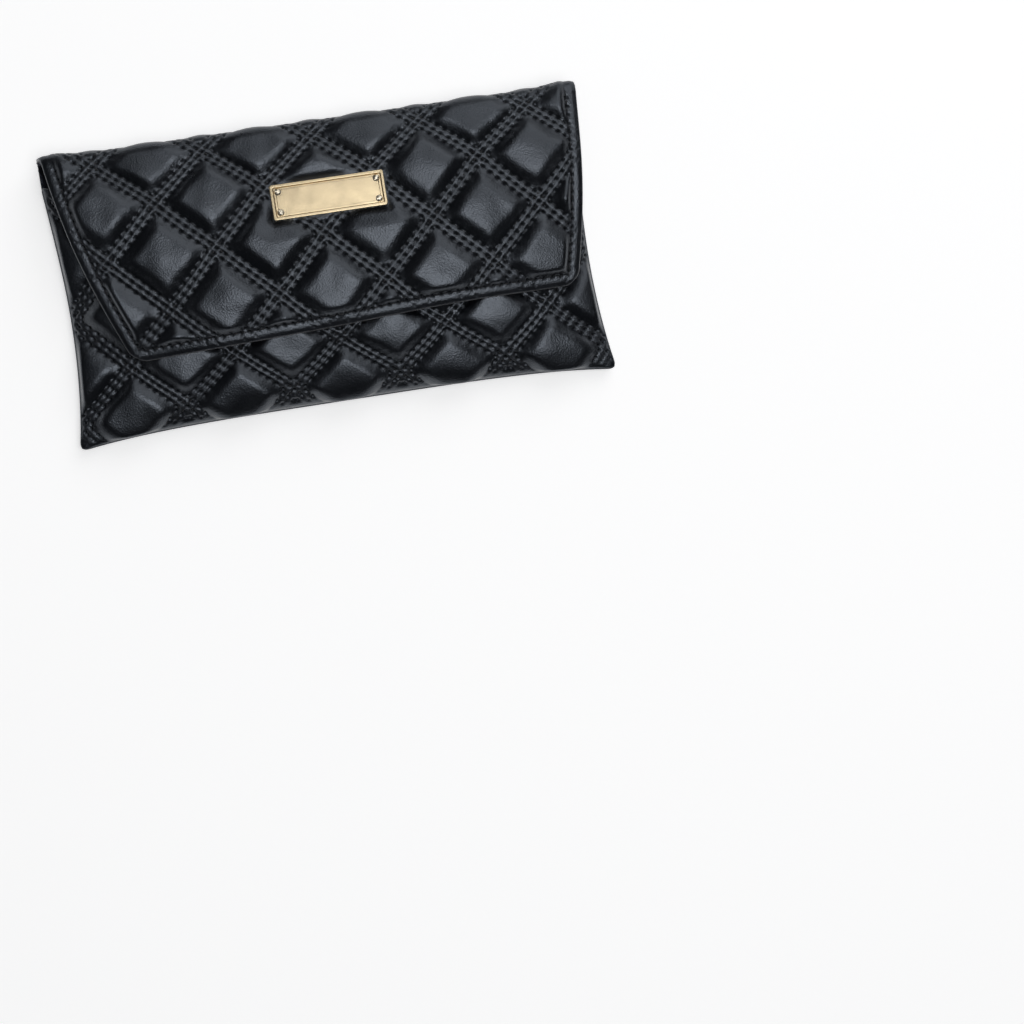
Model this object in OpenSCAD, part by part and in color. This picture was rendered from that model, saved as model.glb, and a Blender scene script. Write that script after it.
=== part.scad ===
// Quilted leather jewellery case: a flat envelope pouch lying on its back, with a velvet
// lined flap that folds over from the spine and a magnetic snap. Millimetres, +Z up,
// +Y toward the fold, X across. Rest pose: closed.

/* [Case] */
// Width of the case across the fold
case_w = 214; // [196:1:232]
// Length of the back panel from the fold line to the bottom corners
back_len = 111; // [100:1:122]
// Height of the pocket's puffed front at a stitch line, over the table
crest_z = 18.7; // [17.7:0.1:19]
// How far the mouth's corners lie below the fold line
mouth_drop = 7; // [5:0.5:10]
// How far the middle of the mouth dips below its corners
mouth_dip = 12.5; // [8:0.5:16]
// How far the side seams are drawn in at mid length
side_pull = 3.5; // [1:0.5:5]
// How far the bottom seam is drawn in between its corners
bottom_pull = 4; // [1:0.5:5]

/* [Quilting] */
// Diamonds across the width
quilts_across = 5; // [4:1:6]
// Length of one diamond along the case
quilt_len = 42; // [38:1:46]
// Height of the pads on the front and the flap over the stitch lines
pad_h = 2.3; // [1.6:0.1:2.4]
// Height of the flatter pads on the back, which carry the case
back_pad_h = 1.8; // [1.4:0.1:2]

/* [Plies] */
// Leather thickness
leather_t = 1; // [0.8:0.1:1.2]
// Velvet lining thickness
lining_t = 0.6; // [0.4:0.1:0.7]
// Wadding thickness in the front at a stitch line
front_wadding_t = 2.4; // [2.2:0.1:2.8]
// Stiffening board thickness in the flap
board_t = 0.8; // [0.6:0.1:1]
// Wadding thickness in the flap at a stitch line
flap_wadding_t = 0.8; // [0.7:0.1:1]

/* [Flap] */
// Width of the flap's free edge between its corners
tip_w = 176; // [160:1:184]
// Reach of the flap from the fold line to the middle of its free edge
flap_len = 78.5; // [77:0.5:84]
// Outward bow of the flap's sides
flap_bow = 3; // [0:0.5:4]
// Corner radius of the flap
flap_corner_r = 5; // [3:0.5:8]
// Rise of the flap from the fold to the snap
flap_rise = 4.7; // [4.6:0.1:5.2]

/* [Snap] */
// Diameter of the snap's magnet cap
cap_d = 18; // [16:0.5:19]
// Height of the magnet cap
cap_h = 2.7; // [2.6:0.1:2.8]
// Diameter of the hole in the cap
cap_hole_d = 6.6; // [6.4:0.1:7]
// Diameter of the plate with the stud on the flap
stud_plate_d = 16.5; // [15:0.5:18]
// Diameter of the stud where it meets its plate
stud_d = 5.6; // [5:0.1:5.6]
// Length of the stud
stud_len = 2; // [1.6:0.1:2]

/* [Nameplate] */
// Width of the nameplate
plate_w = 45; // [38:1:50]
// Height of the nameplate along the case
plate_l = 14; // [12:0.5:16]
// Thickness of the nameplate with its raised rim
plate_t = 2; // [1.8:0.1:2.4]
// Distance of the nameplate's centre from the fold line
plate_from_fold = 27; // [24:0.5:30]
// How far the nameplate sits to the right of the case's middle
plate_x = 3.5; // [0:0.5:6]
// Diameter of the nameplate's screw heads
screw_head_d = 2.8; // [2.4:0.1:3]

/* [Hidden] */
half_w = case_w / 2;
// Fold line, where the panels end and the bends begin
fold_y = 53;
bottom_corner_y = fold_y - back_len;
mouth_corner_y = fold_y - mouth_drop;
// Panels stop this short of the fold line, so that the bends have room to turn
fold_gap = 0.05;
// Air left between two plies that lie on each other
ply_gap = 0.02;
// Flat plane in which the front is sewn onto the back
seam_z = 4.5;
// Height of the fold line's two hinge axes
hinge_low_z = 5;
hinge_high_z = 17;
// Distance of the lining's inner face from the hinge axes
bend_r = 0.5;
// Thickness of all the plies where they are pressed together at the seam
seam_t = 1.2;
// Length of the front panel along the leather, from mouth to bottom seam
front_len = 101 * (back_len - mouth_drop) / 104;
// First row of stitch crossings, measured from the mouth
first_row = 2.5;
pitch_x = case_w / quilts_across;
step_x = pitch_x / 8;
step_l = quilt_len / 8;
fine_cols = 8 * quilts_across;
coarse_cols = 4 * quilts_across;
snap_row = first_row + quilt_len;
// Folded edge of leather round the pocket's mouth
turn_w = 1.3;

function clamp01(t) = max(0, min(1, t));
function ease(t) = let (c = clamp01(t)) c * c * (3 - 2 * c);
function round_in(t) = let (c = clamp01(t)) 1 - (1 - c) * (1 - c);
function mix(a, b, k) = a + (b - a) * k;

// Height of a quilted pad from 0 at its stitch lines to 1 at its middle, where u and v
// count diamonds across and along, and stitch lines cross where u + v and u - v are whole
function quilt(u, v) = sqrt(abs(sin(180 * (u + v))) * abs(sin(180 * (u - v))));

// ---- Closed sheet between an upper and a lower grid of points ----
// Each point is [x, y, z, h]: h is the pad height there, and a cell is creased along its
// lower diagonal, so that creases follow the stitch lines.

function xyz(p) = [p[0], p[1], p[2]];
function crease(a, b, c, d) =
    let (k = a[3] + c[3] - b[3] - d[3])
    abs(k) > 0.000001 ? k < 0 : a[0] + b[0] > 0;
function cell_up(o, w, j, i, m) =
    let (a = o + j * w + i, b = a + 1, d = a + w, c = d + 1)
    crease(m[j][i], m[j][i + 1], m[j + 1][i + 1], m[j + 1][i])
        ? [[a, b, c], [a, c, d]] : [[a, b, d], [b, c, d]];
function cell_down(o, w, j, i, m) =
    let (a = o + j * w + i, b = a + 1, d = a + w, c = d + 1)
    crease(m[j][i], m[j][i + 1], m[j + 1][i + 1], m[j + 1][i])
        ? [[a, c, b], [a, d, c]] : [[a, d, b], [b, d, c]];
function edge_low(i, na, nb) = floor((i + 0.5) * nb / na);
function edge_high(j, na, nb) = len([for (i = [0:na - 1]) if (edge_low(i, na, nb) <= j) i]);
// Closes the rim between two rows of point numbers of any length
function zip_rim(a, b) =
    let (na = len(a) - 1, nb = len(b) - 1)
    concat(
        [for (i = [0:na - 1]) [a[i + 1], a[i], b[edge_low(i, na, nb)]]],
        [for (j = [0:nb - 1]) [b[j], b[j + 1], a[edge_high(j, na, nb)]]]
    );
function rim_side(o, rows, cols, side) =
    side == 0 ? [for (i = [0:cols]) o + i]
    : side == 1 ? [for (j = [0:rows]) o + j * (cols + 1) + cols]
    : side == 2 ? [for (i = [cols:-1:0]) o + rows * (cols + 1) + i]
    : [for (j = [rows:-1:0]) o + j * (cols + 1)];

module sheet(upper, lower) {
    ur = len(upper) - 1;
    uc = len(upper[0]) - 1;
    lr = len(lower) - 1;
    lc = len(lower[0]) - 1;
    lo = (ur + 1) * (uc + 1);
    points = concat([for (r = upper) for (p = r) xyz(p)], [for (r = lower) for (p = r) xyz(p)]);
    up = [for (j = [0:ur - 1]) for (i = [0:uc - 1]) for (f = cell_up(0, uc + 1, j, i, upper)) f];
    dn = [for (j = [0:lr - 1]) for (i = [0:lc - 1]) for (f = cell_down(lo, lc + 1, j, i, lower)) f];
    rim = [
        for (side = [0:3])
            for (f = zip_rim(rim_side(0, ur, uc, side), rim_side(lo, lr, lc, side))) f
    ];
    polyhedron(points = points, faces = concat(up, dn, rim), convexity = 6);
}

// ---- Front of the pouch ----
// s runs across from -1 to 1, t along the leather from the mouth.

function mouth_y(s) = mouth_corner_y - mouth_dip * (1 - pow(abs(s), 2.3));
function bottom_y(s) = bottom_corner_y + bottom_pull * (1 - pow(s, 4));
function front_x(s, t) = s * (half_w - side_pull * sin(180 * clamp01(t / front_len)));
function front_y(s, t) =
    let (k = 1 - pow(1 - clamp01(t / front_len), 1.21))
    mix(mouth_y(s), bottom_y(s), k) - min(0, t);
function bulge(s, t) =
    let (k = clamp01(t / front_len), m = 1 - clamp01(k / 0.4))
    pow(1 - pow(abs(s), 2.6), 1 / 1.8) * pow(1 - pow(k, 3), 1 / 1.8) * (1 - 0.15 * m * m);
snap_y = front_y(0, snap_row);
// Flat seat pressed into the front leather for the magnet cap
seat_z = crest_z - 0.8;
function snap_clear(x, y) = ease((norm([x, y - snap_y]) - cap_d / 2 - 6) / 6);
function front_pad(s, t) =
    quilt(s * quilts_across / 2 + 0.5, (t - first_row) / quilt_len)
    * ease((1 - abs(s)) * half_w / 9) * ease((front_len - t) / 9) * clamp01((t + 1) / 6)
    * snap_clear(front_x(s, t), front_y(s, t));
pad_slack = 0.3;
// Pad height of an under-ply's coarser grid, kept from rising past the finer grid above it
function front_pad_under(s, t) =
    min(
        front_pad(s, t),
        pad_slack + min(front_pad(s, t - step_l), front_pad(s, t + step_l)),
        pad_slack + min(front_pad(s - 1 / coarse_cols, t), front_pad(s + 1 / coarse_cols, t))
    );
// depth: ply depth under the outer face, rim: height at the seam, padded: 1 with the quilting
function front_point(s, t, depth, rim, padded) =
    let (
        x = front_x(s, t),
        y = front_y(s, t),
        h = depth > 0 ? front_pad_under(s, t) : front_pad(s, t),
        k = snap_clear(x, y),
        z = seam_z + rim + (crest_z - depth - seam_z - rim) * bulge(s, t)
    )
    [x, y, mix(seat_z - depth, z, k) + padded * pad_h * h, h];
fine_n = floor((front_len - first_row - 1) / step_l);
front_fine = concat([0], [for (k = [0:fine_n]) first_row + k * step_l], [front_len]);
front_coarse = concat([0], [for (k = [0:2:fine_n]) first_row + k * step_l], [front_len]);
function across(n) = [for (i = [0:n]) 2 * i / n - 1];
function front_grid(rows, cols, depth, rim, padded) =
    [for (t = rows) [for (s = across(cols)) front_point(s, t, depth, rim, padded)]];
leather_rim = 0.6;
wadding_rim = 0.3;
wadding_depth = leather_t + front_wadding_t;
lining_depth = wadding_depth + lining_t;
// Row of points on the rounded turn of leather at the mouth
function turn_row(cols, depth, rim, out) =
    [for (s = across(cols))
        let (p = front_point(s, 0, depth, rim, 0)) [p[0], p[1] + out, p[2], 0]];

module front_leather() {
    color("#17181c")
        difference() {
            sheet(
                concat(
                    [turn_row(fine_cols, lining_depth, 0, turn_w * 0.7)],
                    [turn_row(fine_cols, 0.6 * lining_depth, 0.6, turn_w)],
                    [turn_row(fine_cols, 0.3, 0.95, turn_w * 0.7)],
                    front_grid(front_fine, fine_cols, 0, seam_t, 1)
                ),
                concat(
                    [turn_row(coarse_cols, lining_depth, 0, 0)],
                    front_grid(front_coarse, coarse_cols, leather_t, leather_rim, 1)
                )
            );
            prong_slots(seat_z - 2 * leather_t, 3 * leather_t);
        }
}

module front_wadding() {
    color("#d9d4c8")
        difference() {
            sheet(
                front_grid(inset(front_coarse), coarse_cols, leather_t + ply_gap, leather_rim - ply_gap, 1),
                front_grid(inset(front_coarse), coarse_cols, wadding_depth, wadding_rim, 0)
            );
            translate([0, snap_y, seat_z - lining_depth])
                cylinder(d = patch_d + 0.4, h = lining_depth + 2, $fn = 48);
        }
}

module front_lining() {
    color("#14161f")
        sheet(
            front_grid(inset(front_coarse), coarse_cols, wadding_depth + ply_gap, wadding_rim - ply_gap, 0),
            front_grid(inset(front_coarse), coarse_cols, lining_depth, 0.02, 0)
        );
}
// Starts a ply a hair inside the turned edge
function inset(rows) = concat([ply_gap], [for (k = [1:len(rows) - 1]) rows[k]]);

// ---- Back of the pouch ----
back_rows_n = round(back_len / step_l);
function side_at(y) =
    let (k = clamp01((mouth_corner_y - y) / (mouth_corner_y - bottom_corner_y)))
    half_w - side_pull * sin(180 * (1 - pow(1 - k, 1 / 1.21)));
function back_pad(s, j) =
    min(1, 1.25 * quilt(s * quilts_across / 2 + 0.5, j / 8))
    * ease((1 - abs(s)) * half_w / 9) * ease((back_rows_n - j) * step_l / 9);
function back_point(s, j, rim, drop, padded) =
    let (
        y = mix(fold_y - fold_gap, bottom_y(s), j / back_rows_n),
        h = back_pad(s, j),
        k = round_in((1 - abs(s)) * half_w / 9) * round_in((back_rows_n - j) * step_l / 9)
    )
    [s * side_at(y), y, seam_z - rim - drop * k - padded * back_pad_h * h, h];
back_fine = [for (j = [0:back_rows_n]) j];
back_coarse = concat([for (j = [0:2:back_rows_n - 1]) j], [back_rows_n]);
function back_grid(rows, cols, rim, drop, padded) =
    [for (j = rows) [for (s = across(cols)) back_point(s, j, rim, drop, padded)]];
// Depth of the back's stitch lines under the seam, so that the pads end on the table
back_drop = seam_z - seam_t - back_pad_h;
back_in = seam_t + back_drop - leather_t;

module back_leather() {
    color("#17181c")
        sheet(
            back_grid(back_coarse, coarse_cols, leather_rim, back_in - leather_rim, 1),
            back_grid(back_fine, fine_cols, seam_t, back_drop, 1)
        );
}

module back_wadding() {
    color("#d9d4c8")
        sheet(
            back_grid(back_coarse, coarse_cols, wadding_rim, lining_t - wadding_rim, 0),
            back_grid(back_coarse, coarse_cols, leather_rim - ply_gap, back_in - leather_rim, 1)
        );
}

module back_lining() {
    color("#14161f")
        sheet(
            back_grid(back_coarse, coarse_cols, 0, 0, 0),
            back_grid(back_coarse, coarse_cols, wadding_rim - ply_gap, lining_t - wadding_rim, 0)
        );
}

// ---- Fold ----
// Each row: hinge height, direction out of the hinge axis, diamonds from the bottom fold line
fold_mid_z = (hinge_low_z + hinge_high_z) / 2;
fold_rows = [
    [hinge_low_z, -90, 0],
    [hinge_low_z, -42, 0.5],
    [hinge_low_z + 0.5, 0, 1],
    [fold_mid_z, 0, 2],
    [hinge_high_z - 0.5, 0, 3],
    [hinge_high_z, 42, 3.6],
    [hinge_high_z, 90, 4.19]
];
back_out_r = hinge_low_z - back_pad_h;
flap_stack = lining_t + board_t + flap_wadding_t + leather_t;
flap_out_r = bend_r + flap_stack;
function fold_pad(s, c) =
    min(1, 1.25 * quilt(s * quilts_across / 2 + 0.5, c / 8)) * ease((1 - abs(s)) * half_w / 9);
function fold_point(s, row, r_low, r_high, padded) =
    let (
        w = row[2] / 4.19,
        h = fold_pad(s, row[2]),
        r = mix(r_low, r_high, w) + padded * back_pad_h * h
    )
    [s * half_w, fold_y + r * cos(row[1]), row[0] + r * sin(row[1]), h];
function fold_grid(cols, r_low, r_high, padded) =
    [for (row = fold_rows) [for (s = across(cols)) fold_point(s, row, r_low, r_high, padded)]];
lining_out_r = bend_r + lining_t;

module fold_leather() {
    color("#17181c")
        sheet(
            fold_grid(fine_cols, back_out_r, flap_out_r, 1),
            fold_grid(coarse_cols, back_out_r - leather_t, flap_out_r - leather_t, 0)
        );
}

// Quarter bend of lining round a hinge axis, up or down from it
module lining_bend(z, side) {
    difference() {
        intersection() {
            translate([-half_w, fold_y, z])
                rotate([0, 90, 0])
                    cylinder(r = lining_out_r, h = case_w, $fn = 48);
            translate([-half_w, fold_y, side > 0 ? z : z - lining_out_r])
                cube([case_w, lining_out_r, lining_out_r]);
        }
        translate([-half_w - 1, fold_y, z])
            rotate([0, 90, 0])
                cylinder(r = bend_r, h = case_w + 2, $fn = 48);
    }
}

module fold_lining() {
    color("#14161f")
        union() {
            lining_bend(hinge_low_z, -1);
            translate([-half_w, fold_y + bend_r, hinge_low_z])
                cube([case_w, lining_t, hinge_high_z - hinge_low_z]);
            lining_bend(hinge_high_z, 1);
        }
}

// Strip of wadding in the spine, clear of both hinge lines
module fold_wadding() {
    wadding_in = lining_out_r + ply_gap;
    wadding_out = back_out_r - leather_t - ply_gap;
    color("#d9d4c8")
        translate([-half_w + 4, fold_y + wadding_in, hinge_low_z + 0.5])
            cube([case_w - 8, wadding_out - wadding_in, hinge_high_z - hinge_low_z - 1]);
}

// ---- Flap ----
tip_y = fold_y - flap_len;
plate_y = fold_y - plate_from_fold;
flap_row_y = fold_y - 41;
tip_in = 2;
function flap_edge_y(x) = tip_y - tip_in * pow(clamp01(abs(x) / (tip_w / 2)), 2);
function flap_half(y) =
    let (k = clamp01((fold_y - y) / (flap_len + tip_in)))
    mix(half_w, tip_w / 2, k) + flap_bow * sin(180 * k);
function flap_inside(x, y) =
    max(0, min((flap_half(y) - abs(x)) * 0.97, y - flap_edge_y(x)));
function flap_u(y) = (fold_y - y) / (fold_y - snap_y);
function flap_under_free(x, y) =
    let (u = flap_u(y), c = clamp01(u))
    hinge_high_z + bend_r + flap_rise * (1 - pow(1 - c, 1.8))
        - 3.2 * max(0, u - 1) - 3 * pow(x / half_w, 2) * min(1.2, max(0, u));
stud_top_z = hinge_high_z + bend_r + flap_rise;
plate_slope = flap_rise * 1.8 * pow(1 - flap_u(plate_y), 0.8) / (fold_y - snap_y);
plate_angle = -atan(plate_slope);
plate_under_z = flap_under_free(0, plate_y);
function plate_clear(x, y) =
    ease(max((abs(x - plate_x) - plate_w / 2 - step_x) / 6, (abs(y - plate_y) - plate_l / 2 - step_l) / 6));
// The lining lies flat under the whole plate, so the flat ends a grid cell outside it
stud_flat_r = stud_plate_d / 2 + 1.15 * norm([step_x, step_l]);
function stud_clear(x, y) = ease((norm([x, y - snap_y]) - stud_flat_r) / 6);
function flap_under(x, y) =
    mix(stud_top_z,
        mix(plate_under_z - plate_slope * (y - plate_y), flap_under_free(x, y), plate_clear(x, y)),
        stud_clear(x, y));
function flap_pad(x, y) =
    quilt(x / pitch_x, (flap_row_y - y) / quilt_len) * ease((flap_inside(x, y) - 0.5) / 8)
    * plate_clear(x, y);
function flap_pad_under(x, y) =
    min(
        flap_pad(x, y),
        pad_slack + min(flap_pad(x, y - step_l), flap_pad(x, y + step_l)),
        pad_slack + min(flap_pad(x - step_x, y), flap_pad(x + step_x, y))
    );
// Pads near the fold are as low as the spine's
function flap_pad_h(y) = mix(back_pad_h, pad_h, ease((fold_y - y) / 25));
function flap_point(x, y, depth, hem, padded) =
    let (
        h = depth < flap_stack ? flap_pad_under(x, y) : flap_pad(x, y),
        k = max(ease(flap_inside(x, y) / 7), 1 - stud_clear(x, y))
    )
    [x, y, flap_under(x, y) + mix(hem, depth, k) + padded * flap_pad_h(y) * h, h];
flap_top_m = floor((fold_y - flap_row_y - 1) / step_l);
flap_low_m = ceil((tip_y - tip_in - flap_row_y + 0.4) / step_l);
function even(m) = m - 2 * floor(m / 2) == 0;
flap_fine = concat(
    [fold_y - fold_gap],
    [for (m = [flap_top_m:-1:flap_low_m]) flap_row_y + m * step_l],
    [tip_y - tip_in - 1]
);
flap_coarse = concat(
    [fold_y - fold_gap],
    [for (m = [flap_top_m:-1:flap_low_m]) if (even(m)) flap_row_y + m * step_l],
    [tip_y - tip_in - 1]
);
function flap_grid(rows, cols, depth, hem, padded) =
    [for (y = rows) [for (s = across(cols)) flap_point(s * half_w, y, depth, hem, padded)]];
side_n = 8;
corner_n = 4;
edge_n = 8;
corner_y = tip_y - tip_in + flap_corner_r;
corner_x = flap_half(corner_y) - flap_corner_r * 1.05;
function flap_side(sign) = [
    for (i = [0:side_n])
        let (y = mix(fold_y - fold_gap, corner_y, i / side_n)) [sign * flap_half(y), y]
];
function flap_round(sign) = [
    for (i = [1:corner_n])
        let (a = 90 * i / corner_n)
        [sign * (corner_x + flap_corner_r * 1.05 * cos(a)), corner_y - flap_corner_r * sin(a)]
];
flap_edge = [
    for (i = [1:edge_n - 1])
        let (x = corner_x * (1 - 2 * i / edge_n)) [x, flap_edge_y(x)]
];
function backward(list) = [for (i = [len(list) - 1:-1:0]) list[i]];
flap_outline = concat(
    flap_side(1), flap_round(1), flap_edge, backward(flap_round(-1)), backward(flap_side(-1))
);

module flap_trim() {
    translate([0, 0, hinge_high_z - 8])
        linear_extrude(height = 40)
            polygon(flap_outline);
}

flap_lining_top = lining_t;
flap_board_top = lining_t + board_t;
flap_wadding_top = flap_board_top + flap_wadding_t;
// Thickness of each ply up to its top where the border is pressed together
lining_hem = 0.4;
board_hem = 0.9;
wadding_hem = 1.1;
leather_hem = 1.9;

module flap_leather() {
    color("#17181c")
        difference() {
            intersection() {
                sheet(
                    flap_grid(flap_fine, fine_cols, flap_stack, leather_hem, 1),
                    flap_grid(flap_coarse, coarse_cols, flap_wadding_top + ply_gap, wadding_hem + ply_gap, 1)
                );
                flap_trim();
            }
            plate_frame_place() screw_holes(-3, 4);
        }
}

module flap_wadding() {
    color("#d9d4c8")
        difference() {
            intersection() {
                sheet(
                    flap_grid(flap_coarse, coarse_cols, flap_wadding_top, wadding_hem, 1),
                    flap_grid(flap_coarse, coarse_cols, flap_board_top + ply_gap, board_hem + ply_gap, 0)
                );
                flap_trim();
            }
            plate_frame_place()
                translate([-backing_w / 2 - 0.3, -backing_l / 2 - 0.3, -leather_t - 3])
                    cube([backing_w + 0.6, backing_l + 0.6, 6]);
            translate([0, snap_y, stud_top_z])
                cylinder(d = stud_patch_d + 0.6, h = 8, $fn = 48);
        }
}

module flap_board() {
    color("#8d8271")
        difference() {
            intersection() {
                sheet(
                    flap_grid(flap_coarse, coarse_cols, flap_board_top, board_hem, 0),
                    flap_grid(flap_coarse, coarse_cols, flap_lining_top + ply_gap, lining_hem + ply_gap, 0)
                );
                flap_trim();
            }
            prong_slots(stud_top_z - 2, 6);
        }
}

module flap_lining() {
    color("#14161f")
        difference() {
            intersection() {
                sheet(
                    flap_grid(flap_coarse, coarse_cols, flap_lining_top, lining_hem, 0),
                    flap_grid(flap_coarse, coarse_cols, 0, 0, 0)
                );
                flap_trim();
            }
            prong_slots(stud_top_z - 2, 6);
        }
}

// ---- Magnetic snap ----
prong_x = 3.5;
prong_t = 0.5;
prong_w = 2.6;
prong_leg = 3;
patch_d = cap_d;
patch_t = 0.5;
washer_d = 14;
washer_t = 0.5;
base_d = cap_d - 1;
base_t = 0.5;
cap_wall = 0.4;
crimp_t = 0.25;
core_d = 4.6;
cap_hole_r = cap_hole_d / 2;
cap_r = cap_d / 2;

// Slots that the prongs of either snap half go through
module prong_slots(z, h) {
    for (side = [-1, 1])
        translate([side * prong_x - prong_t / 2 - 0.05, snap_y - prong_w / 2 - 0.05, z])
            cube([prong_t + 0.1, prong_w + 0.1, h]);
}

// Turned metal cap with a crimped foot and a rolled ring round its hole
module snap_cap() {
    color("#d9c27a")
        translate([0, snap_y, seat_z])
            union() {
                rotate_extrude($fn = 72)
                    polygon([
                        [cap_r - 0.75, 0], [cap_r - 0.2, 0], [cap_r, 0.2], [cap_r, cap_h - 0.5],
                        [cap_r - 0.15, cap_h - 0.15], [cap_r - 0.5, cap_h], [cap_hole_r, cap_h],
                        [cap_hole_r, cap_h - cap_wall], [cap_r - cap_wall, cap_h - cap_wall],
                        [cap_r - cap_wall, crimp_t], [cap_r - 0.75, crimp_t]
                    ]);
                rotate_extrude($fn = 72)
                    translate([cap_hole_r + 0.3, cap_h - 0.1])
                        circle(r = 0.3, $fn = 24);
            }
}

base_z = seat_z + crimp_t + 0.01;
magnet_z = base_z + base_t + 0.01;

module snap_magnet() {
    color("#55585c")
        translate([0, snap_y, magnet_z])
            difference() {
                cylinder(d = cap_d - 2 * cap_wall - 0.3, h = seat_z + cap_h - cap_wall - 0.02 - magnet_z, $fn = 72);
                translate([0, 0, -1])
                    cylinder(d = cap_hole_d + 0.8, h = cap_h + 2, $fn = 48);
            }
}

module snap_core() {
    color("#cdb36a")
        translate([0, snap_y, base_z + base_t])
            cylinder(d = core_d, h = stud_tip_z - 0.12 - base_z - base_t, $fn = 48);
}

module prong(side, z_from, z_to, z_leg) {
    translate([side * prong_x - prong_t / 2, snap_y - prong_w / 2, z_from])
        cube([prong_t, prong_w, z_to - z_from]);
    translate([min(side * prong_x, side * (prong_x + prong_leg)), snap_y - prong_w / 2, z_leg])
        cube([prong_leg, prong_w, prong_t]);
}

snap_leg_z = seat_z - leather_t - patch_t - washer_t - prong_t - 0.02;

module snap_base() {
    color("#b9bcc0")
        union() {
            translate([0, snap_y, base_z])
                cylinder(d = base_d, h = base_t, $fn = 72);
            prong(-1, snap_leg_z, base_z + 0.1, snap_leg_z);
            prong(1, snap_leg_z, base_z + 0.1, snap_leg_z);
        }
}

module snap_patch() {
    color("#8d8271")
        difference() {
            translate([0, snap_y, seat_z - leather_t - patch_t])
                cylinder(d = patch_d, h = patch_t - 0.01, $fn = 72);
            prong_slots(seat_z - leather_t - 2, 4);
        }
}

module snap_washer() {
    color("#b9bcc0")
        difference() {
            translate([0, snap_y, seat_z - leather_t - patch_t - washer_t])
                cylinder(d = washer_d, h = washer_t - 0.01, $fn = 72);
            prong_slots(seat_z - leather_t - 3, 4);
            translate([0, snap_y, seat_z - leather_t - 3])
                cylinder(d = 3, h = 4, $fn = 32);
        }
}

// ---- Snap half on the flap ----
stud_plate_t = 1;
stud_face_z = stud_top_z - stud_plate_t;
stud_tip_z = stud_face_z - stud_len;
stud_patch_d = stud_plate_d + 3;
stud_patch_t = 0.4;
stud_washer_t = 0.4;
stud_board_z = stud_top_z + flap_board_top;
stud_leg_z = stud_board_z + stud_patch_t + stud_washer_t + 0.03;
stud_r = stud_plate_d / 2;

module stud_plate() {
    color("#e0cc8c")
        union() {
            translate([0, snap_y, stud_face_z])
                rotate_extrude($fn = 72)
                    polygon([
                        [0, 0.15], [stud_d / 2 + 0.2, 0.15], [stud_d / 2 + 0.8, 0.25], [stud_r - 1.4, 0.25],
                        [stud_r - 1.1, 0], [stud_r - 0.3, 0], [stud_r, 0.3], [stud_r, stud_plate_t - 0.01],
                        [0, stud_plate_t - 0.01]
                    ]);
            translate([0, snap_y, stud_tip_z])
                rotate_extrude($fn = 48)
                    polygon([
                        [0, 0], [stud_d / 2 - 0.8, 0], [stud_d / 2 - 0.5, 0.3], [stud_d / 2, stud_len],
                        [stud_d / 2, stud_len + 0.3], [0, stud_len + 0.3]
                    ]);
            prong(-1, stud_top_z - 0.2, stud_leg_z + prong_t, stud_leg_z);
            prong(1, stud_top_z - 0.2, stud_leg_z + prong_t, stud_leg_z);
        }
}

module stud_patch() {
    color("#8d8271")
        difference() {
            translate([0, snap_y, stud_board_z + 0.01])
                cylinder(d = stud_patch_d, h = stud_patch_t - 0.01, $fn = 72);
            prong_slots(stud_board_z - 1, 4);
        }
}

module stud_washer() {
    color("#b9bcc0")
        difference() {
            translate([0, snap_y, stud_board_z + stud_patch_t + 0.01])
                cylinder(d = washer_d, h = stud_washer_t - 0.01, $fn = 72);
            prong_slots(stud_board_z - 1, 4);
            translate([0, snap_y, stud_board_z])
                cylinder(d = 3, h = 4, $fn = 32);
        }
}

// ---- Nameplate ----
plate_rim = 1.2;
tray_t = 0.8;
insert_t = 0.6;
insert_gap = 0.15;
screw_d = 1.4;
screw_hole_d = 1.6;
screw_x = plate_w / 2 - plate_rim - screw_head_d / 2 - 0.4;
screw_y = plate_l / 2 - plate_rim - screw_head_d / 2 - 0.3;
backing_w = plate_w - 3;
backing_l = plate_l - 3;
backing_t = 0.6;
plate_z = plate_under_z + flap_stack;

// Puts a child on the flap's face at the nameplate, tilted with the leather
module plate_frame_place() {
    translate([plate_x, plate_y, plate_z])
        rotate([plate_angle, 0, 0])
            children();
}

module screw_holes(z, h) {
    for (sx = [-1, 1])
        for (sy = [-1, 1])
            translate([sx * screw_x, sy * screw_y, z])
                cylinder(d = screw_hole_d, h = h, $fn = 32);
}

module rounded_plate(w, l, r, t) {
    linear_extrude(height = t)
        union() {
            square([w - 2 * r, l], center = true);
            square([w, l - 2 * r], center = true);
            for (sx = [-1, 1])
                for (sy = [-1, 1])
                    translate([sx * (w / 2 - r), sy * (l / 2 - r)])
                        circle(r = r, $fn = 32);
        }
}

module nameplate_frame() {
    color("#dcc68a")
        plate_frame_place()
            difference() {
                translate([0, 0, 0.02])
                    rounded_plate(plate_w, plate_l, 0.8, plate_t);
                translate([0, 0, tray_t + 0.02])
                    rounded_plate(plate_w - 2 * plate_rim, plate_l - 2 * plate_rim, 0.4, plate_t);
                screw_holes(-1, 4);
            }
}

module nameplate_insert() {
    color("#e7d7a6")
        plate_frame_place()
            difference() {
                translate([0, 0, tray_t + 0.04])
                    rounded_plate(plate_w - 2 * plate_rim - 2 * insert_gap, plate_l - 2 * plate_rim - 2 * insert_gap, 0.4, insert_t);
                screw_holes(-1, 4);
            }
}

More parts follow.
